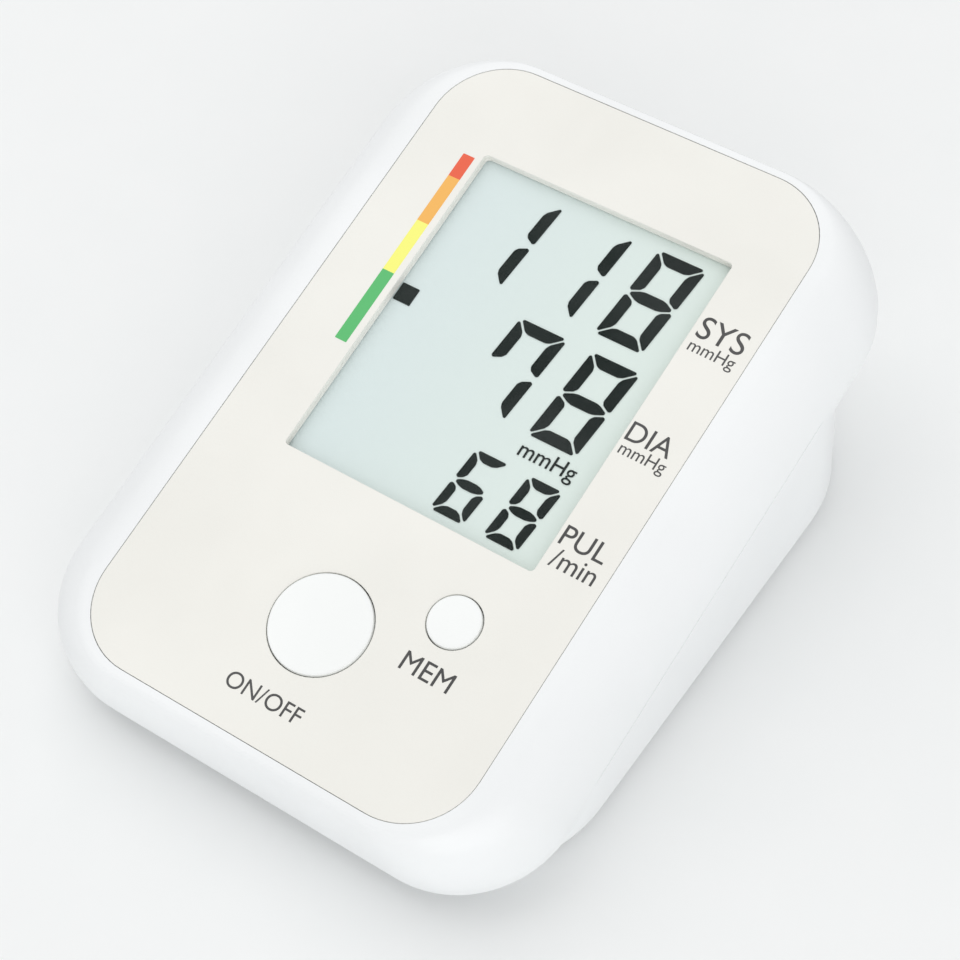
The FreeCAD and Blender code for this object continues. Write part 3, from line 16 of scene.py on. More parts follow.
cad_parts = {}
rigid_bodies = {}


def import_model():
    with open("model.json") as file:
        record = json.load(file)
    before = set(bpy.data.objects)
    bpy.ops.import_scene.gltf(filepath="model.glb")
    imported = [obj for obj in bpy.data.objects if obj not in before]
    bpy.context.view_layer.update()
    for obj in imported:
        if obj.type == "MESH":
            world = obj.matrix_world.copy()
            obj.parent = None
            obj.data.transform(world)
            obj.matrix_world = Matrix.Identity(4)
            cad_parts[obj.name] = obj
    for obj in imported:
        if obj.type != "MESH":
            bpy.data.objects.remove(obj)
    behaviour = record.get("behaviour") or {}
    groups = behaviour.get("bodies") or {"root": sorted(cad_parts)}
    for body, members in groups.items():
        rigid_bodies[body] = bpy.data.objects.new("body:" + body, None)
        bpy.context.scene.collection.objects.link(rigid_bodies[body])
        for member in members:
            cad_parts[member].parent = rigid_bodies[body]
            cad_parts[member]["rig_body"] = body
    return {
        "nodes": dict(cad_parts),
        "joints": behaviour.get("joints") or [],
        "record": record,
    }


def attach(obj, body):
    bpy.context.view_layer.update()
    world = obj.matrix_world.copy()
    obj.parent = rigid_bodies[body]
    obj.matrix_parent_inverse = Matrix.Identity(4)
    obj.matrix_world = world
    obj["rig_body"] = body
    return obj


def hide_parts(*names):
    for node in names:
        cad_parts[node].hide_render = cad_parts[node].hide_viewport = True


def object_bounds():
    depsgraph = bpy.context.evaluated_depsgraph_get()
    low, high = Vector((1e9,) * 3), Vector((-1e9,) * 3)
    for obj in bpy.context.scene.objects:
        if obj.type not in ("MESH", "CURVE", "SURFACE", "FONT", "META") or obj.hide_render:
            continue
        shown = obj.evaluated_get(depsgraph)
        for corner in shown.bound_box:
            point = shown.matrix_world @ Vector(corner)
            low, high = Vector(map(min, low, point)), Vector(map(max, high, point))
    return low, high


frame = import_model()
cad_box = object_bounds()
nodes = frame["nodes"]
MM = 0.001

# %% [markdown]
# The face of the monitor slopes towards the user, and everything on it is easier to draw flat. So the
# face gets axes of its own: across, up the slope and out of the face. They could be typed in as angles,
# but the keys travel straight into the face, so their joint already knows the slope, and the plate knows
# the height.

# %% Axes of the sloping face
key_joint = next(joint for joint in frame["joints"] if joint["name"] == "on_off_press")
OUT = -Vector(key_joint["axis"]).normalized()
ACROSS = Vector((1, 0, 0))
UP_SLOPE = OUT.cross(ACROSS)
FACE_AXES = (ACROSS, UP_SLOPE, OUT)


def reach(node, axis):
    """Lowest and highest place of a node along an axis."""
    places = [axis.dot(vertex.co) for vertex in nodes[node].data.vertices]
    return min(places), max(places)


face_middle = [sum(reach("face_plate", axis)) / 2 for axis in (ACROSS, UP_SLOPE)]
face_middle.append(reach("face_plate", OUT)[1])
FACE = Matrix(FACE_AXES).transposed().to_4x4()
FACE.translation = sum((axis * place for axis, place in zip(FACE_AXES, face_middle)), Vector())
SLOPE_ANGLE = math.atan2(UP_SLOPE.z, UP_SLOPE.y)
print("face slopes", round(math.degrees(SLOPE_ANGLE), 2), "degrees, middle at", FACE.translation)

# %% [markdown]
# A studio table is a wide pale sheet. It could be a bent backdrop, but then every view from the rear
# needs one too. So it is one flat sheet that fades out before its edge, and from any side it runs into
# the pale air behind it without a horizon.

# %% Floor
FLOOR_SIZE = 3.0
FLOOR_ROUGHNESS = 0.9
FADE_FROM = 0.35
FADE_TO = 1.3
# A mix node has sockets for every kind of data. These are the places of the ones for colours.
MIX_INPUTS = (0, 6, 7)
MIX_RESULT = 2


def clear_selection():
    """Start the next step with nothing selected."""
    bpy.ops.object.select_all(action="DESELECT")


def feed(tree, socket, value):
    """Link an input to another socket, or type a plain value into it."""
    if isinstance(value, bpy.types.NodeSocket):
        tree.links.new(value, socket)
    else:
        socket.default_value = value


def paint_node(tree, kind, **inputs):
    """Add a shader node and feed its named inputs, with _ for each space in a name."""
    made = tree.nodes.new(kind)
    for name, value in inputs.items():
        feed(tree, made.inputs[name.replace("_", " ")], value)
    return made


def object_place(tree):
    """The place of a surface point on its object."""
    return paint_node(tree, "ShaderNodeTexCoord").outputs["Object"]


def noise(tree, place, scale, detail):
    """A noise over a place, as a factor around one half."""
    made = paint_node(tree, "ShaderNodeTexNoise", Vector=place, Scale=scale, Detail=detail)
    return made.outputs["Fac"]


def new_finish(name):
    """A new material with its node tree and its shader."""
    finish = bpy.data.materials.new(name)
    finish.use_nodes = True
    return finish, finish.node_tree, finish.node_tree.nodes["Principled BSDF"]


def mixed_colours(tree, factor, first, second):
    """Blend two colours by a factor and return the resulting socket."""
    made = tree.nodes.new("ShaderNodeMix")
    made.data_type = "RGBA"
    for index, value in zip(MIX_INPUTS, (factor, first, second)):
        feed(tree, made.inputs[index], value)
    return made.outputs[MIX_RESULT]


def colour(red, green, blue):
    """A colour as seen on a screen, from 0 to 255, turned into light for the shader."""
    return tuple(((c / 255 + 0.055) / 1.055) ** 2.4 for c in (red, green, blue)) + (1.0,)


clear_selection()
bpy.ops.mesh.primitive_plane_add(size=FLOOR_SIZE)
floor = bpy.context.object
floor.name = "studio_floor"
floor_finish, tree, shader = new_finish("floor_paper")
place = object_place(tree)
fibre = noise(tree, place, scale=40.0, detail=4.0)
tone = mixed_colours(tree, fibre, colour(241, 243, 243), colour(245, 246, 246))
tree.links.new(tone, shader.inputs["Base Color"])
shader.inputs["Roughness"].default_value = FLOOR_ROUGHNESS
distance = paint_node(tree, "ShaderNodeVectorMath", Vector=place)
distance.operation = "LENGTH"
fade = paint_node(tree, "ShaderNodeMapRange", Value=distance.outputs["Value"],
                  From_Min=FADE_FROM, From_Max=FADE_TO, To_Min=1.0, To_Max=0.0)
fade.interpolation_type = "SMOOTHSTEP"
tree.links.new(fade.outputs["Result"], shader.inputs["Alpha"])
floor.data.materials.append(floor_finish)
print("floor", floor.dimensions.x, "m wide")

# %% [markdown]
# Soft studio light comes from large lamps: the larger the lamp, the softer the shadow. One lamp hangs
# high on the left behind the monitor and draws its edges. The other stands lower in front on the right,
# because the flanks turn away from the first and would go grey. The world fills the rest evenly. The
# camera, and whatever is mirrored in a surface, meets a paler world than the one that lights the
# monitor.

# %% Lights
# Each lamp: its name, place in metres, size in metres and power in watts.
LAMPS = (("rear_softbox", (-0.55, 0.35, 1.1), 1.4, 5.6),
         ("front_softbox", (0.95, -0.95, 0.6), 1.4, 8.0))
WORLD_LIGHT = 0.66
BACKDROP = 0.9

target = Vector((0, 0, cad_box[1][2] / 2))
for name, spot, size, power in LAMPS:
    clear_selection()
    bpy.ops.object.light_add(type="AREA", location=spot)
    lamp = bpy.context.object
    lamp.name = name
    lamp.rotation_euler = (target - lamp.location).to_track_quat("-Z", "Y").to_euler()
    lamp.data.size = size
    lamp.data.energy = power
world = bpy.data.worlds.new("studio_air")
world.use_nodes = True
bpy.context.scene.world = world
air = world.node_tree
sky = air.nodes["Background"]
sky.inputs["Color"].default_value = (1.0, 1.0, 1.0, 1.0)
rays = paint_node(air, "ShaderNodeLightPath")
seen = air.nodes.new("ShaderNodeMath")
seen.operation = "MAXIMUM"
air.links.new(rays.outputs["Is Camera Ray"], seen.inputs[0])
air.links.new(rays.outputs["Is Glossy Ray"], seen.inputs[1])
strength = paint_node(air, "ShaderNodeMapRange", Value=seen.outputs["Value"],
                      To_Min=WORLD_LIGHT, To_Max=BACKDROP)
air.links.new(strength.outputs["Result"], sky.inputs["Strength"])
bpy.context.scene.view_settings.view_transform = "Standard"
print("lamps", [name for name, *_ in LAMPS])

# %% [markdown]
# The camera stands in front of the monitor, to the right and well above it, with a long lens and a
# slight roll. It could be placed by typing a position, but an angle round the object, an angle above the
# table and a distance say the same thing in words that can be read and changed.

# %% Camera
LENS = 90
VIEW_TARGET = FACE.translation + Vector((13.01, -10.15, -0.48)) * MM
VIEW_DISTANCE = 489.0 * MM
VIEW_AZIMUTH = math.radians(40.18)
VIEW_ELEVATION = math.radians(52.65)
VIEW_ROLL = math.radians(-6.82)

level = math.cos(VIEW_ELEVATION)
away = Vector((math.sin(VIEW_AZIMUTH) * level, -math.cos(VIEW_AZIMUTH) * level, math.sin(VIEW_ELEVATION)))
clear_selection()
bpy.ops.object.camera_add(location=VIEW_TARGET + away * VIEW_DISTANCE)
camera = bpy.context.object
camera.data.lens = LENS
looking = (-away).to_track_quat("-Z", "Y").to_matrix()
camera.rotation_euler = (looking @ Matrix.Rotation(VIEW_ROLL, 3, "Z")).to_euler()
bpy.context.scene.camera = camera
print("camera at", camera.location)

# %% [markdown]
# Moulded plastic is never one flat tone. The tool leaves a fine grain, the resin varies slightly in
# shade, and hands leave faint glossy marks. Every plastic on the monitor shares this effect, so it is
# built once as a node group that gives a colour, a roughness and a height, and each plastic sets its own
# values.

# %% Moulded skin, a shared effect
NOISE_LOW = 0.35
NOISE_HIGH = 0.65


def new_group(name, inputs, outputs):
    """A node group with the named input and output sockets."""
    group = bpy.data.node_groups.new(name, "ShaderNodeTree")
    for label, kind, value in inputs:
        socket = group.interface.new_socket(label, in_out="INPUT", socket_type=kind)
        socket.default_value = value
    for label, kind in outputs:
        group.interface.new_socket(label, in_out="OUTPUT", socket_type=kind)
    return group, group.nodes.new("NodeGroupInput"), group.nodes.new("NodeGroupOutput")


def scaled(tree, source, low, high):
    """Spread a noise's middle range over low to high."""
    made = paint_node(tree, "ShaderNodeMapRange", Value=source, From_Min=NOISE_LOW, From_Max=NOISE_HIGH,
                      To_Min=low, To_Max=high)
    return made.outputs["Result"]


moulded_skin, given, result = new_group(
    "moulded_skin",
    (
        ("Pale", "NodeSocketColor", (0.8, 0.8, 0.8, 1)),
        ("Deep", "NodeSocketColor", (0.7, 0.7, 0.7, 1)),
        ("Smooth", "NodeSocketFloat", 0.3),
        ("Rough", "NodeSocketFloat", 0.45),
        ("Grain Scale", "NodeSocketFloat", 2500.0),
    ),
    (("Color", "NodeSocketColor"), ("Roughness", "NodeSocketFloat"), ("Height", "NodeSocketFloat")),
)
place = object_place(moulded_skin)
drift = noise(moulded_skin, place, scale=22.0, detail=3.0)
marks = paint_node(moulded_skin, "ShaderNodeTexNoise", Vector=place, Scale=70.0, Detail=6.0, Distortion=0.8)
grain = noise(moulded_skin, place, scale=given.outputs["Grain Scale"], detail=2.0)
shade = mixed_colours(moulded_skin, scaled(moulded_skin, drift, low=0.0, high=1.0),
                      given.outputs["Pale"], given.outputs["Deep"])
polish = scaled(moulded_skin, marks.outputs["Fac"], given.outputs["Smooth"], given.outputs["Rough"])
moulded_skin.links.new(shade, result.inputs["Color"])
moulded_skin.links.new(polish, result.inputs["Roughness"])
moulded_skin.links.new(grain, result.inputs["Height"])
print("moulded skin of", len(moulded_skin.nodes), "shader nodes")

# %% [markdown]
# The monitor's plastics differ in tone, polish and grain: a satin white case, a matt warm white plate,
# dark rubber, milky tubes. Each could have a node tree of its own, but with the shared skin a row of
# numbers is enough.

# %% Plastic finishes
GRAIN_HEIGHT = 0.1 * MM
PLAIN_GLOSS = 0.5
INK_GLOSS = 0.05
# Each plastic: pale and deep tone, lowest and highest roughness, scale and depth of the grain. The ink
# of the display has its own gloss too.
PLASTICS = {
    "shell_white": ((242, 244, 245), (238, 240, 241), 0.3, 0.42, 3000.0, 0.12),
    "plate_cream": ((240, 239, 233), (236, 235, 229), 0.45, 0.6, 4000.0, 0.2),
    "key_white": ((246, 248, 247), (242, 244, 243), 0.28, 0.4, 3000.0, 0.1),
    "inner_plastic": ((228, 227, 222), (215, 214, 208), 0.4, 0.55, 2500.0, 0.2),
    "jack_plastic": ((205, 207, 210), (192, 195, 199), 0.35, 0.5, 2500.0, 0.2),
    "soft_rubber": ((72, 72, 74), (58, 58, 60), 0.6, 0.8, 1800.0, 0.4),
    "air_tube": ((222, 225, 220), (208, 212, 206), 0.35, 0.5, 2000.0, 0.2),
    "component_black": ((40, 40, 42), (30, 30, 32), 0.4, 0.6, 2500.0, 0.3),
    "lead_insulation": ((178, 40, 34), (150, 30, 26), 0.35, 0.5, 2500.0, 0.2),
    "reflector_green": ((214, 226, 220), (206, 219, 213), 0.5, 0.6, 2500.0, 0.1),
    "pale_foam": ((214, 217, 216), (204, 207, 206), 0.7, 0.9, 1500.0, 0.4),
    "lcd_ink": ((20, 31, 28), (13, 22, 20), 0.5, 0.65, 2500.0, 0.1, INK_GLOSS),
    "print_grey": ((72, 72, 72), (60, 60, 60), 0.5, 0.65, 2500.0, 0.1),
}


def plastic(name, pale, deep, smooth, rough, grain_scale, grain_depth, gloss=PLAIN_GLOSS):
    """A plastic finish from the moulded skin, with its own tones, polish and grain."""
    finish, tree, shader = new_finish(name)
    skin = tree.nodes.new("ShaderNodeGroup")
    skin.node_tree = moulded_skin
    for label, value in (("Pale", colour(*pale)), ("Deep", colour(*deep)), ("Smooth", smooth),
                         ("Rough", rough), ("Grain Scale", grain_scale)):
        skin.inputs[label].default_value = value
    bump = paint_node(tree, "ShaderNodeBump", Height=skin.outputs["Height"], Strength=grain_depth,
                      Distance=GRAIN_HEIGHT)
    tree.links.new(skin.outputs["Color"], shader.inputs["Base Color"])
    tree.links.new(skin.outputs["Roughness"], shader.inputs["Roughness"])
    tree.links.new(bump.outputs["Normal"], shader.inputs["Normal"])
    shader.inputs["Specular IOR Level"].default_value = gloss
    return finish


finishes = {name: plastic(name, *look) for name, look in PLASTICS.items()}
print("plastics", sorted(finishes))

# %% [markdown]
# The display is a thin liquid crystal cell: pale grey green, and painted faintly bluer towards its left
# side as a painted reflection. The lens over it is clear acrylic. It could be true glass, but bending
# every ray through a sheet this thin only makes the picture murky. So the lens is a nearly clear film with
# a faint gloss, which lamp light passes straight, and the cell below it is matt and opaque, as the film on
# its rear makes it.

# %% Display finishes
# The right tone is the cell's own colour. The left tone adds a painted bluish reflection.
CELL_LEFT_TONE_WITH_REFLECTION = colour(215, 228, 228)
CELL_RIGHT_TONE = colour(221, 233, 227)
CELL_ROUGHNESS = (0.5, 0.62)
LENS_TONE = colour(238, 243, 243)
LENS_ROUGHNESS = (0.05, 0.15)
LENS_COVER = (0.006, 0.016)


def along_face(tree, axis):
    """The place of a surface point along one axis of the face (0 across, 1 up the slope), in metres."""
    turned = paint_node(tree, "ShaderNodeMapping", Vector=object_place(tree), Rotation=(-SLOPE_ANGLE, 0, 0))
    parts = paint_node(tree, "ShaderNodeSeparateXYZ", Vector=turned.outputs["Vector"])
    return parts.outputs[axis]


cell_finish, tree, shader = new_finish("lcd_cell")
lcd_left, lcd_right = reach("lcd_glass", ACROSS)
# Painted reflection: the cell's colour runs from a bluer tone on the left to its own tone on the right.
painted_reflection_ramp = paint_node(tree, "ShaderNodeMapRange", Value=along_face(tree, 0),
                  From_Min=lcd_left, From_Max=lcd_right)
tone = mixed_colours(tree, painted_reflection_ramp.outputs["Result"], CELL_LEFT_TONE_WITH_REFLECTION, CELL_RIGHT_TONE)
film = noise(tree, object_place(tree), scale=900.0, detail=3.0)
tree.links.new(tone, shader.inputs["Base Color"])
tree.links.new(scaled(tree, film, *CELL_ROUGHNESS), shader.inputs["Roughness"])
finishes["lcd_cell"] = cell_finish

lens_finish, tree, shader = new_finish("lens_clear")
shader.inputs["Base Color"].default_value = LENS_TONE
wipes = noise(tree, object_place(tree), scale=60.0, detail=5.0)
tree.links.new(scaled(tree, wipes, *LENS_ROUGHNESS), shader.inputs["Roughness"])
tree.links.new(scaled(tree, wipes, *LENS_COVER), shader.inputs["Alpha"])
finishes["lens_clear"] = lens_finish
print("display", round((lcd_right - lcd_left) / MM, 1), "mm wide, with its cell and lens finishes")

# %% [markdown]
# Inside are a circuit board, steel parts and foil wrapped cells. Metal is told by its reflections, so it
# gets a full metallic shader whose roughness follows fine scratches drawn out along one direction.

# %% Metal, board and cell finishes
BOARD_ROUGHNESS = 0.4


def metal(name, dark, light, smooth, rough, stretch):
    """A metal between two tones, with fine lines drawn out along one axis."""
    finish, tree, shader = new_finish(name)
    drawn = paint_node(tree, "ShaderNodeMapping", Vector=object_place(tree), Scale=stretch)
    lines = noise(tree, drawn.outputs["Vector"], scale=600.0, detail=4.0)
    tree.links.new(scaled(tree, lines, smooth, rough), shader.inputs["Roughness"])
    shade = mixed_colours(tree, lines, dark, light)
    tree.links.new(shade, shader.inputs["Base Color"])
    shader.inputs["Metallic"].default_value = 1.0
    return finish


finishes["bright_steel"] = metal("bright_steel", colour(190, 192, 196), colour(225, 226, 228),
                                 smooth=0.22, rough=0.4, stretch=(1.0, 0.08, 1.0))
finishes["cell_jacket"] = metal("cell_jacket", colour(44, 92, 150), colour(58, 108, 166),
                                smooth=0.26, rough=0.34, stretch=(1.0, 0.05, 1.0))

board_finish, tree, shader = new_finish("board_green")
tracks = paint_node(tree, "ShaderNodeTexBrick", Vector=object_place(tree), Scale=180.0,
                    Color1=colour(32, 98, 56), Color2=colour(28, 90, 50), Mortar=colour(44, 118, 70))
tree.links.new(tracks.outputs["Color"], shader.inputs["Base Color"])
shader.inputs["Roughness"].default_value = BOARD_ROUGHNESS
finishes["board_green"] = board_finish
print("finishes", len(finishes))

# %% [markdown]
# Every piece of the construction names the finish it takes, so one loop dresses them all. The moulded
# shells, keys and round pieces show their facets when light grazes them, so each gets a copy that stands
# in for it: merged, with the triangles of every flat wall dissolved into one face, and shaded smoothly
# up to its sharp edges. These are picked by the bend of the mesh itself, because the copy still carries
# the construction's own normals. Weighted normals then keep the flat walls flat while the rounded edges
# shade smoothly into them. The foam ring under the display's edge is pale, so that no dark line shows
# round the window.

# %% Dress the construction
SMOOTH_ANGLE = math.radians(35)
FLAT_ANGLE = math.radians(0.2)
MERGE_DISTANCE = 0.001 * MM
EDGE_BREAK = 0.12 * MM
BREAK_ANGLE = math.radians(60)
EDGED = ("face_plate", "battery_door")
SMOOTHED = ("upper_case", "lower_case", "battery_door", "face_plate", "on_off_button", "mem_button",
            "air_jack", "battery_cells", "battery_springs", "case_screws")

slots = {row["node"]: row["material_slot"] for row in frame["record"]["subparts"]}
for name, node in nodes.items():
    node.data.materials.clear()
    node.data.materials.append(finishes[slots[name]])
nodes["lcd_gasket"].data.materials[0] = finishes["pale_foam"]


def apply_modifier(piece, kind, **settings):
    """Put a modifier on a piece, set it up and apply it to the mesh."""
    bpy.context.view_layer.objects.active = piece
    made = piece.modifiers.new(kind.lower(), kind)
    for name, value in settings.items():
        setattr(made, name, value)
    bpy.ops.object.modifier_apply(modifier=made.name)


def smooth_stand_in(node):
    """A merged, smoothly shaded copy of a node, which then stands for it. Some have their edges broken."""
    clear_selection()
    piece = bpy.data.objects.new(node + "_skin", nodes[node].data.copy())
    bpy.context.collection.objects.link(piece)
    bpy.context.view_layer.objects.active = piece
    piece.select_set(True)
    bpy.ops.object.mode_set(mode="EDIT")
    bpy.ops.mesh.select_all(action="SELECT")
    bpy.ops.mesh.remove_doubles(threshold=MERGE_DISTANCE)
    bpy.ops.mesh.dissolve_limited(angle_limit=FLAT_ANGLE)
    bpy.ops.mesh.faces_shade_smooth()
    bpy.ops.mesh.select_mode(type="EDGE")
    bpy.ops.mesh.select_all(action="DESELECT")
    bpy.ops.mesh.edges_select_sharp(sharpness=SMOOTH_ANGLE)
    bpy.ops.mesh.mark_sharp()
    bpy.ops.object.mode_set(mode="OBJECT")
    if node in EDGED:
        apply_modifier(piece, "BEVEL", width=EDGE_BREAK, segments=2, angle_limit=BREAK_ANGLE)
    apply_modifier(piece, "WEIGHTED_NORMAL", keep_sharp=True)
    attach(piece, nodes[node]["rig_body"])
    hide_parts(node)
    return piece


skins = {node: smooth_stand_in(node) for node in SMOOTHED}
print("smooth stand-ins", sum(len(skin.data.polygons) for skin in skins.values()), "faces")

# %% [markdown]
# The monitor stands on four rubber feet. A stamped disc would have hard edges, but a foot is moulded:
# its rim is rounded and its sole is slightly dished, so that it grips. A disc gets a bevel and an inset,
# in each of the four places that the construction gives.

# %% Rubber feet
FOOT_SIDES = 64
FOOT_ROUND = 0.6 * MM
SOLE_RIM = 1.3 * MM
SOLE_DISH = 0.2 * MM


def corners_of(piece):
    """The places of all corners of a piece."""
    return [vertex.co for vertex in piece.data.vertices]


def pieces_of(node):
    """The four like pieces of a node, one in each quarter of the table, as lists of their corners."""
    quarters = {}
    for spot in corners_of(nodes[node]):
        quarters.setdefault((spot.x > 0, spot.y > 0), []).append(spot)
    return [quarters[key] for key in sorted(quarters)]


def box_of(places):
    """Low and high corner of a list of places."""
    return [Vector(pick(place[axis] for place in places) for axis in range(3)) for pick in (min, max)]


def join_pieces(pieces, name):
    """Make one object of several pieces."""
    clear_selection()
    for piece in pieces:
        piece.select_set(True)
    bpy.context.view_layer.objects.active = pieces[0]
    bpy.ops.object.join()
    pieces[0].name = name
    return pieces[0]


def select_faces(piece, wanted):
    """In edit mode, select the faces whose middle passes a test."""
    mesh = bmesh.from_edit_mesh(piece.data)
    for face in mesh.faces:
        face.select_set(wanted(face.calc_center_median()))
    bmesh.update_edit_mesh(piece.data)


def rubber_foot(low, high):
    """One foot with a rounded rim and a dished sole, as large as its box."""
    size = high - low
    clear_selection()
    bpy.ops.mesh.primitive_cylinder_add(vertices=FOOT_SIDES, radius=size.x / 2, depth=size.z)
    foot = bpy.context.object
    bpy.ops.object.mode_set(mode="EDIT")
    bpy.ops.mesh.select_mode(type="FACE")
    select_faces(foot, lambda spot: spot.z < -size.z / 4)
    bpy.ops.mesh.bevel(offset=FOOT_ROUND, segments=4, affect="EDGES")
    select_faces(foot, lambda spot: spot.z < -size.z / 2 + MERGE_DISTANCE)
    bpy.ops.mesh.inset(thickness=SOLE_RIM)
    bpy.ops.mesh.inset(thickness=SOLE_DISH)
    bpy.ops.transform.translate(value=(0, 0, SOLE_DISH))
    bpy.ops.object.mode_set(mode="OBJECT")
    bpy.ops.object.shade_smooth_by_angle(angle=SMOOTH_ANGLE)
    foot.data.transform(Matrix.Translation((low + high) / 2))
    return foot


feet = join_pieces([rubber_foot(*box_of(places)) for places in pieces_of("rubber_feet")], "moulded_feet")
feet.data.materials.append(finishes["soft_rubber"])
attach(feet, "housing")
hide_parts("rubber_feet")
print("feet", len(feet.data.polygons), "faces")

# %% [markdown]
# The case screws sit deep in the posts. Their heads get a cross recess for the driver. It could be drawn
# into the head's outline, but the driver's tip is simply two crossed blades, so two blades are cut out
# of each head.

# %% Cross recesses
BLADE = Vector((3.4, 0.8, 1.1)) * MM
BLADE_TURNS = (math.radians(45), math.radians(135))


def blade(middle, turn):
    """One blade of the driver's tip, standing in a screw head."""
    clear_selection()
    bpy.ops.mesh.primitive_cube_add(size=1)
    tip = bpy.context.object
    stand = Matrix.Translation(middle) @ Matrix.Rotation(turn, 4, "Z")
    tip.data.transform(stand @ Matrix.Diagonal(BLADE).to_4x4())
    return tip


def cut_out(piece, tool):
    """Cut a tool's shape out of a piece and remove the tool."""
    clear_selection()
    apply_modifier(piece, "BOOLEAN", operation="DIFFERENCE", object=tool)
    bpy.data.objects.remove(tool)


screws = skins["case_screws"]
for places in pieces_of("case_screws"):
    low, high = box_of(places)
    seat = Vector(((low.x + high.x) / 2, (low.y + high.y) / 2, low.z))
    for turn in BLADE_TURNS:
        cut_out(screws, blade(seat, turn))
print("screws with recesses", len(screws.data.polygons), "faces")

# %% [markdown]
# A battery cell is a steel can in a printed foil jacket. The jacket ends just short of both ends, where
# bare steel makes contact. The copy of the cells gets steel as a second finish, for all faces that look
# along the cell and for the narrow contact stud.

# %% Battery cells
CELL_COUNT = 4
STUD_SHARE = 0.5
LOOKS_ALONG = 0.5

cells = skins["battery_cells"]
cells.data.materials.append(finishes["bright_steel"])
cell_low, cell_high = box_of(corners_of(cells))
cell_radius = (cell_high.z - cell_low.z) / 2
cell_pitch = (cell_high.x - cell_low.x - 2 * cell_radius) / (CELL_COUNT - 1)
for face in cells.data.polygons:
    beside = (face.center.x - cell_low.x - cell_radius) % cell_pitch
    beside = min(beside, cell_pitch - beside)
    from_axis = math.hypot(beside, face.center.z - cell_low.z - cell_radius)
    bare = abs(face.normal.y) > LOOKS_ALONG or from_axis < cell_radius * STUD_SHARE
    face.material_index = int(bare)
print("steel faces on the cells", sum(face.material_index for face in cells.data.polygons))

# %% [markdown]
# A raised arrow beside the grip shows which way the battery door slides. It is moulded with the door: a
# low triangle whose edges are broken, so that it leaves the tool easily. It rides on the door.

# %% Arrow on the door
ARROW_RADIUS = 3.2 * MM
ARROW_RISE = 0.35 * MM
ARROW_SHARE = 0.52
HALF_TURN = Matrix.Rotation(math.pi, 4, "Y")


def thicken(piece, thickness):
    """Give a flat piece its thickness upwards from where it lies."""
    apply_modifier(piece, "SOLIDIFY", thickness=thickness, offset=1)


door_low, door_high = box_of(corners_of(nodes["battery_door"]))
clear_selection()
bpy.ops.mesh.primitive_circle_add(vertices=3, radius=ARROW_RADIUS, fill_type="NGON")
arrow = bpy.context.object
thicken(arrow, ARROW_RISE)
apply_modifier(arrow, "BEVEL", width=ARROW_RISE / 2, segments=3)
arrow_y = door_low.y + (door_high.y - door_low.y) * ARROW_SHARE
arrow_spot = Vector(((door_low.x + door_high.x) / 2, arrow_y, door_low.z))
arrow.data.transform(Matrix.Translation(arrow_spot) @ HALF_TURN)
arrow.name = "door_arrow"
arrow.data.materials.append(finishes["shell_white"])
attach(arrow, "door")
print("arrow points to", max(corners_of(arrow), key=lambda spot: spot.y))

# %% [markdown]
# A reading is shown in seven-bar figures. Each bar could be drawn point by point, but a figure eight
# hides in a plain rectangle: cut it in two, inset both halves, and the frame that is left is the seven
# bars with mitred corners. A second, fine inset opens the pale gaps between the bars, and the unlit bars
# are deleted. The tips of the others are cut blunt and rounded, as they are in a display's etched film.

# %% Seven-bar figures
LIT_BARS = {"1": "bc", "6": "acdefg", "7": "abcf", "8": "abcdefg"}
FIGURE_SLANT = 0.095
BAR_GAP = 0.5 * MM
BAR_BLUNT = 0.6 * MM
BAR_ROUND = 0.22 * MM
MIDLINE_REACH = BAR_GAP / 10
INK_THICK = 0.12 * MM
INK_LIFT = 0.03 * MM
INK_HEIGHT = reach("lcd_glass", OUT)[1] - face_middle[2] + INK_LIFT
# Each reading: its name and digits, then in mm the place of its last figure across and up the face, the
# pitch of its figures, and the width, height and stroke of one figure.
READINGS = (("reading_sys", "118", 20.9, 43.1, 17.95, 12.2, 23.6, 3.3),
            ("reading_dia", "78", 21.1, 16.1, 18.1, 12.4, 23.0, 3.3),
            ("reading_pulse", "68", 23.2, -11.0, 13.2, 8.8, 16.4, 2.6))


def select_corners(piece, wanted):
    """In edit mode, select the vertices whose place passes a test."""
    mesh = bmesh.from_edit_mesh(piece.data)
    for corner in mesh.verts:
        corner.select_set(wanted(corner.co))
    mesh.select_flush(True)
    bmesh.update_edit_mesh(piece.data)


def bar_name(spot, width, height):
    """The letter of the bar at a place in an upright figure, a at the top and g in the middle."""
    if abs(spot.x) < width / 4:
        return "g" if abs(spot.y) < height / 4 else "a" if spot.y > 0 else "d"
    if spot.x > 0:
        return "b" if spot.y > 0 else "c"
    return "f" if spot.y > 0 else "e"


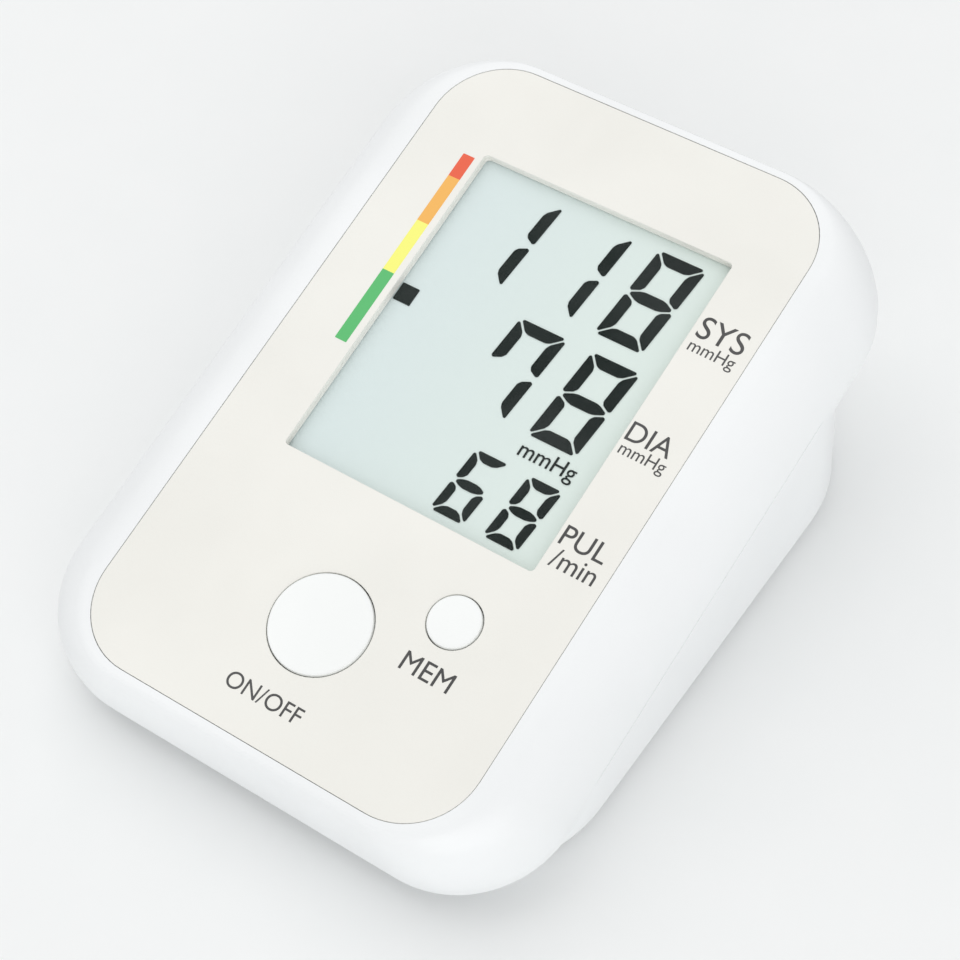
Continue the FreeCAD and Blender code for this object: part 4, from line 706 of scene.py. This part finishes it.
def figure(digit, width, height, stroke):
    """One upright figure, flat and centred on the origin, with only its lit bars."""
    clear_selection()
    bpy.ops.mesh.primitive_plane_add(size=1)
    piece = bpy.context.object
    bpy.ops.object.mode_set(mode="EDIT")
    bpy.ops.mesh.select_mode(type="VERT")
    bpy.ops.transform.resize(value=(width, height, 1))
    bpy.ops.mesh.bisect(plane_co=(0, 0, 0), plane_no=(0, 1, 0))
    bpy.ops.mesh.select_all(action="SELECT")
    bpy.ops.mesh.inset(thickness=stroke, use_individual=True)
    bpy.ops.mesh.delete(type="FACE")
    for side in (1, -1):
        select_corners(piece, lambda spot: 0 < spot.y * side < height / 4)
        bpy.ops.transform.translate(value=(0, -side * stroke / 2, 0))
    select_corners(piece, lambda spot: abs(spot.y) < MIDLINE_REACH)
    bpy.ops.mesh.dissolve_edges(use_verts=False)
    bpy.ops.mesh.select_mode(type="FACE")
    bpy.ops.mesh.select_all(action="SELECT")
    bpy.ops.mesh.inset(thickness=BAR_GAP / 2, use_individual=True)
    bpy.ops.mesh.select_all(action="INVERT")
    bpy.ops.mesh.delete(type="FACE")
    select_faces(piece, lambda spot: bar_name(spot, width, height) not in LIT_BARS[digit])
    bpy.ops.mesh.delete(type="FACE")
    for offset, segments in ((BAR_BLUNT, 1), (BAR_ROUND, 3)):
        bpy.ops.mesh.select_all(action="SELECT")
        bpy.ops.mesh.bevel(offset=offset, offset_type="ABSOLUTE", segments=segments, affect="VERTICES")
    bpy.ops.object.mode_set(mode="OBJECT")
    return piece


def lay_on_face(piece, name, finish, across, up, height):
    """Put a flat piece at a place on the face, bake the place into its mesh and let it ride on the case."""
    piece.name = name
    piece.data.transform(FACE @ Matrix.Translation((across, up, height)))
    piece.data.materials.clear()
    piece.data.materials.append(finish)
    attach(piece, "housing")


slant = Matrix.Identity(4)
slant[0][1] = FIGURE_SLANT
for name, digits, right, up, pitch, width, height, stroke in READINGS:
    row = []
    for rank, digit in enumerate(reversed(digits)):
        piece = figure(digit, width * MM, height * MM, stroke * MM)
        piece.data.transform(Matrix.Translation((-rank * pitch * MM, 0, 0)) @ slant)
        row.append(piece)
    reading = join_pieces(row, name)
    thicken(reading, INK_THICK)
    lay_on_face(reading, name, finishes["lcd_ink"], right * MM, up * MM, INK_HEIGHT)
    print(name, len(reading.data.polygons), "faces")

# %% [markdown]
# The words on the plate are printed: flat, matt and only a few hundredths of a millimetre thick. Text
# objects give the letters, which are made a mesh first and then scaled to the width that the print has.
# The unit on the display is one more word, in the display's ink.

# %% Printed words
PRINT_THICK = 0.03 * MM
UNIT_WIDTH = 13.6 * MM
UNIT_ACROSS = 21.5 * MM
UNIT_UP = 1.0 * MM
# Each word: its name and letters, then in mm the place of its middle across and up the face, and its width.
WORDS = (("word_sys", "SYS", 39.7, 41.9, 11.0), ("word_sys_unit", "mmHg", 39.8, 36.8, 10.8),
         ("word_dia", "DIA", 38.8, 14.6, 10.4), ("word_dia_unit", "mmHg", 39.4, 10.0, 10.8),
         ("word_pulse", "PUL", 39.2, -11.5, 10.6), ("word_pulse_unit", "/min", 39.8, -16.6, 10.4),
         ("word_on_off", "ON/OFF", -0.7, -70.3, 18.6), ("word_memory", "MEM", 25.8, -49.7, 11.8))


def word(text, width):
    """A word as a flat mesh, centred on the origin and as wide as asked."""
    clear_selection()
    bpy.ops.object.text_add()
    letters = bpy.context.object
    letters.data.body = text
    bpy.ops.object.convert(target="MESH")
    piece = bpy.context.object
    low, high = box_of(corners_of(piece))
    piece.data.transform(Matrix.Scale(width / (high.x - low.x), 4) @ Matrix.Translation(-(low + high) / 2))
    return piece


for name, text, across, up, width in WORDS:
    piece = word(text, width * MM)
    thicken(piece, PRINT_THICK)
    lay_on_face(piece, name, finishes["print_grey"], across * MM, up * MM, 0)
unit = word("mmHg", UNIT_WIDTH)
thicken(unit, INK_THICK)
lay_on_face(unit, "lcd_unit", finishes["lcd_ink"], UNIT_ACROSS, UNIT_UP, INK_HEIGHT)
print("words", len(WORDS) + 1)

# %% [markdown]
# Beside the display a printed bar grades the reading from green to red, and a square on the display
# points at the grade. The bar is one strip, and its four bands are a colour ramp with hard steps that
# reads the place along the slope, so the print has clean edges at any distance.

# %% Grade bar and pointer
BAR_ACROSS = -33.2 * MM
BAR_WIDTH = 3.0 * MM
BAR_LOW = 4.3 * MM
BAR_HIGH = 55.6 * MM
BAR_LENGTH = BAR_HIGH - BAR_LOW
BAR_ROUGHNESS = 0.5
PRINT_ROUND = 0.18 * MM
POINTER_SIZE = 4.4 * MM
POINTER_ACROSS = -27.7 * MM
POINTER_UP = 21.0 * MM
# Each grade: where its band begins up the face, in mm, and its colour.
GRADES = ((4.3, colour(84, 186, 108)), (23.0, colour(248, 247, 122)), (36.7, colour(243, 181, 86)),
          (49.3, colour(232, 92, 58)))


def strip(width, length, rounding):
    """A flat strip with rounded corners, centred on the origin."""
    clear_selection()
    bpy.ops.mesh.primitive_plane_add(size=1)
    piece = bpy.context.object
    bpy.ops.object.mode_set(mode="EDIT")
    bpy.ops.transform.resize(value=(width, length, 1))
    bpy.ops.mesh.bevel(offset=rounding, segments=3, affect="VERTICES")
    bpy.ops.object.mode_set(mode="OBJECT")
    return piece


grade_finish, tree, shader = new_finish("grade_bands")
face_origin = FACE.translation.dot(UP_SLOPE)
share = paint_node(tree, "ShaderNodeMapRange", Value=along_face(tree, 1),
                   From_Min=face_origin + BAR_LOW, From_Max=face_origin + BAR_HIGH)
bands = paint_node(tree, "ShaderNodeValToRGB", Fac=share.outputs["Result"])
bands.color_ramp.interpolation = "CONSTANT"
steps = bands.color_ramp.elements
for low, tone in GRADES:
    steps.new((low * MM - BAR_LOW) / BAR_LENGTH).color = tone
steps.remove(steps[-1])
steps.remove(steps[0])
tree.links.new(bands.outputs["Color"], shader.inputs["Base Color"])
shader.inputs["Roughness"].default_value = BAR_ROUGHNESS
bar = strip(BAR_WIDTH, BAR_LENGTH, PRINT_ROUND)
thicken(bar, PRINT_THICK)
lay_on_face(bar, "grade_bar", grade_finish, BAR_ACROSS, (BAR_LOW + BAR_HIGH) / 2, 0)
pointer = strip(POINTER_SIZE, POINTER_SIZE, PRINT_ROUND)
thicken(pointer, INK_THICK)
lay_on_face(pointer, "grade_pointer", finishes["lcd_ink"],
            POINTER_ACROSS, POINTER_UP, INK_HEIGHT)
print("grade bar", round(BAR_LENGTH / MM, 1), "mm long with", len(steps), "bands")

# %% [markdown]
# The lens lies under the plate and is wider than the plate's opening. All clear, it would let the eye in
# under the plate, where it is dark, so such a lens is printed pale round its edge. The printed edge is a
# ring, bridged between two rounded outlines, and the clear part is a pane inside it. Together they stand
# for the lens.

# %% Lens with a printed edge
WINDOW_ROUND = 1.0 * MM
PANE_GAP = Vector((0.02, 0.02, 0)) * MM


def on_face(node):
    """The places of a node's corners along the axes of the face."""
    return [FACE.inverted() @ spot for spot in corners_of(nodes[node])]


def inside(spot, low, high):
    """Whether a place lies between two corners, across and up the face."""
    return low.x < spot.x < high.x and low.y < spot.y < high.y


def ring(outer, inner, rounding):
    """A flat ring between two rounded outlines of the given sizes, facing up."""
    piece = join_pieces([strip(size.x, size.y, rounding) for size in (outer, inner)], "ring")
    bpy.ops.object.mode_set(mode="EDIT")
    bpy.ops.mesh.select_all(action="SELECT")
    bpy.ops.mesh.delete(type="ONLY_FACE")
    bpy.ops.mesh.select_all(action="SELECT")
    bpy.ops.mesh.bridge_edge_loops()
    bpy.ops.object.mode_set(mode="OBJECT")
    if piece.data.polygons[0].normal.z < 0:
        piece.data.flip_normals()
    return piece


lens_low, lens_high = box_of(on_face("display_window"))
open_low, open_high = box_of([spot for spot in on_face("face_plate") if inside(spot, lens_low, lens_high)])
pane_size = open_high - open_low - 2 * PANE_GAP
printed_edge = ring(lens_high - lens_low, open_high - open_low, WINDOW_ROUND)
pane = strip(pane_size.x, pane_size.y, WINDOW_ROUND)
for piece, finish in ((pane, "lens_clear"), (printed_edge, "plate_cream")):
    thicken(piece, lens_high.z - lens_low.z)
    piece.data.materials.append(finishes[finish])
lens = join_pieces([pane, printed_edge], "printed_lens")
lens_middle = (lens_low + lens_high) / 2
lens.data.transform(FACE @ Matrix.Translation((lens_middle.x, lens_middle.y, lens_low.z)))
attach(lens, "housing")
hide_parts("display_window")
print("lens", len(lens.data.polygons), "faces, pane", round(pane_size.x / MM, 2), "mm wide")
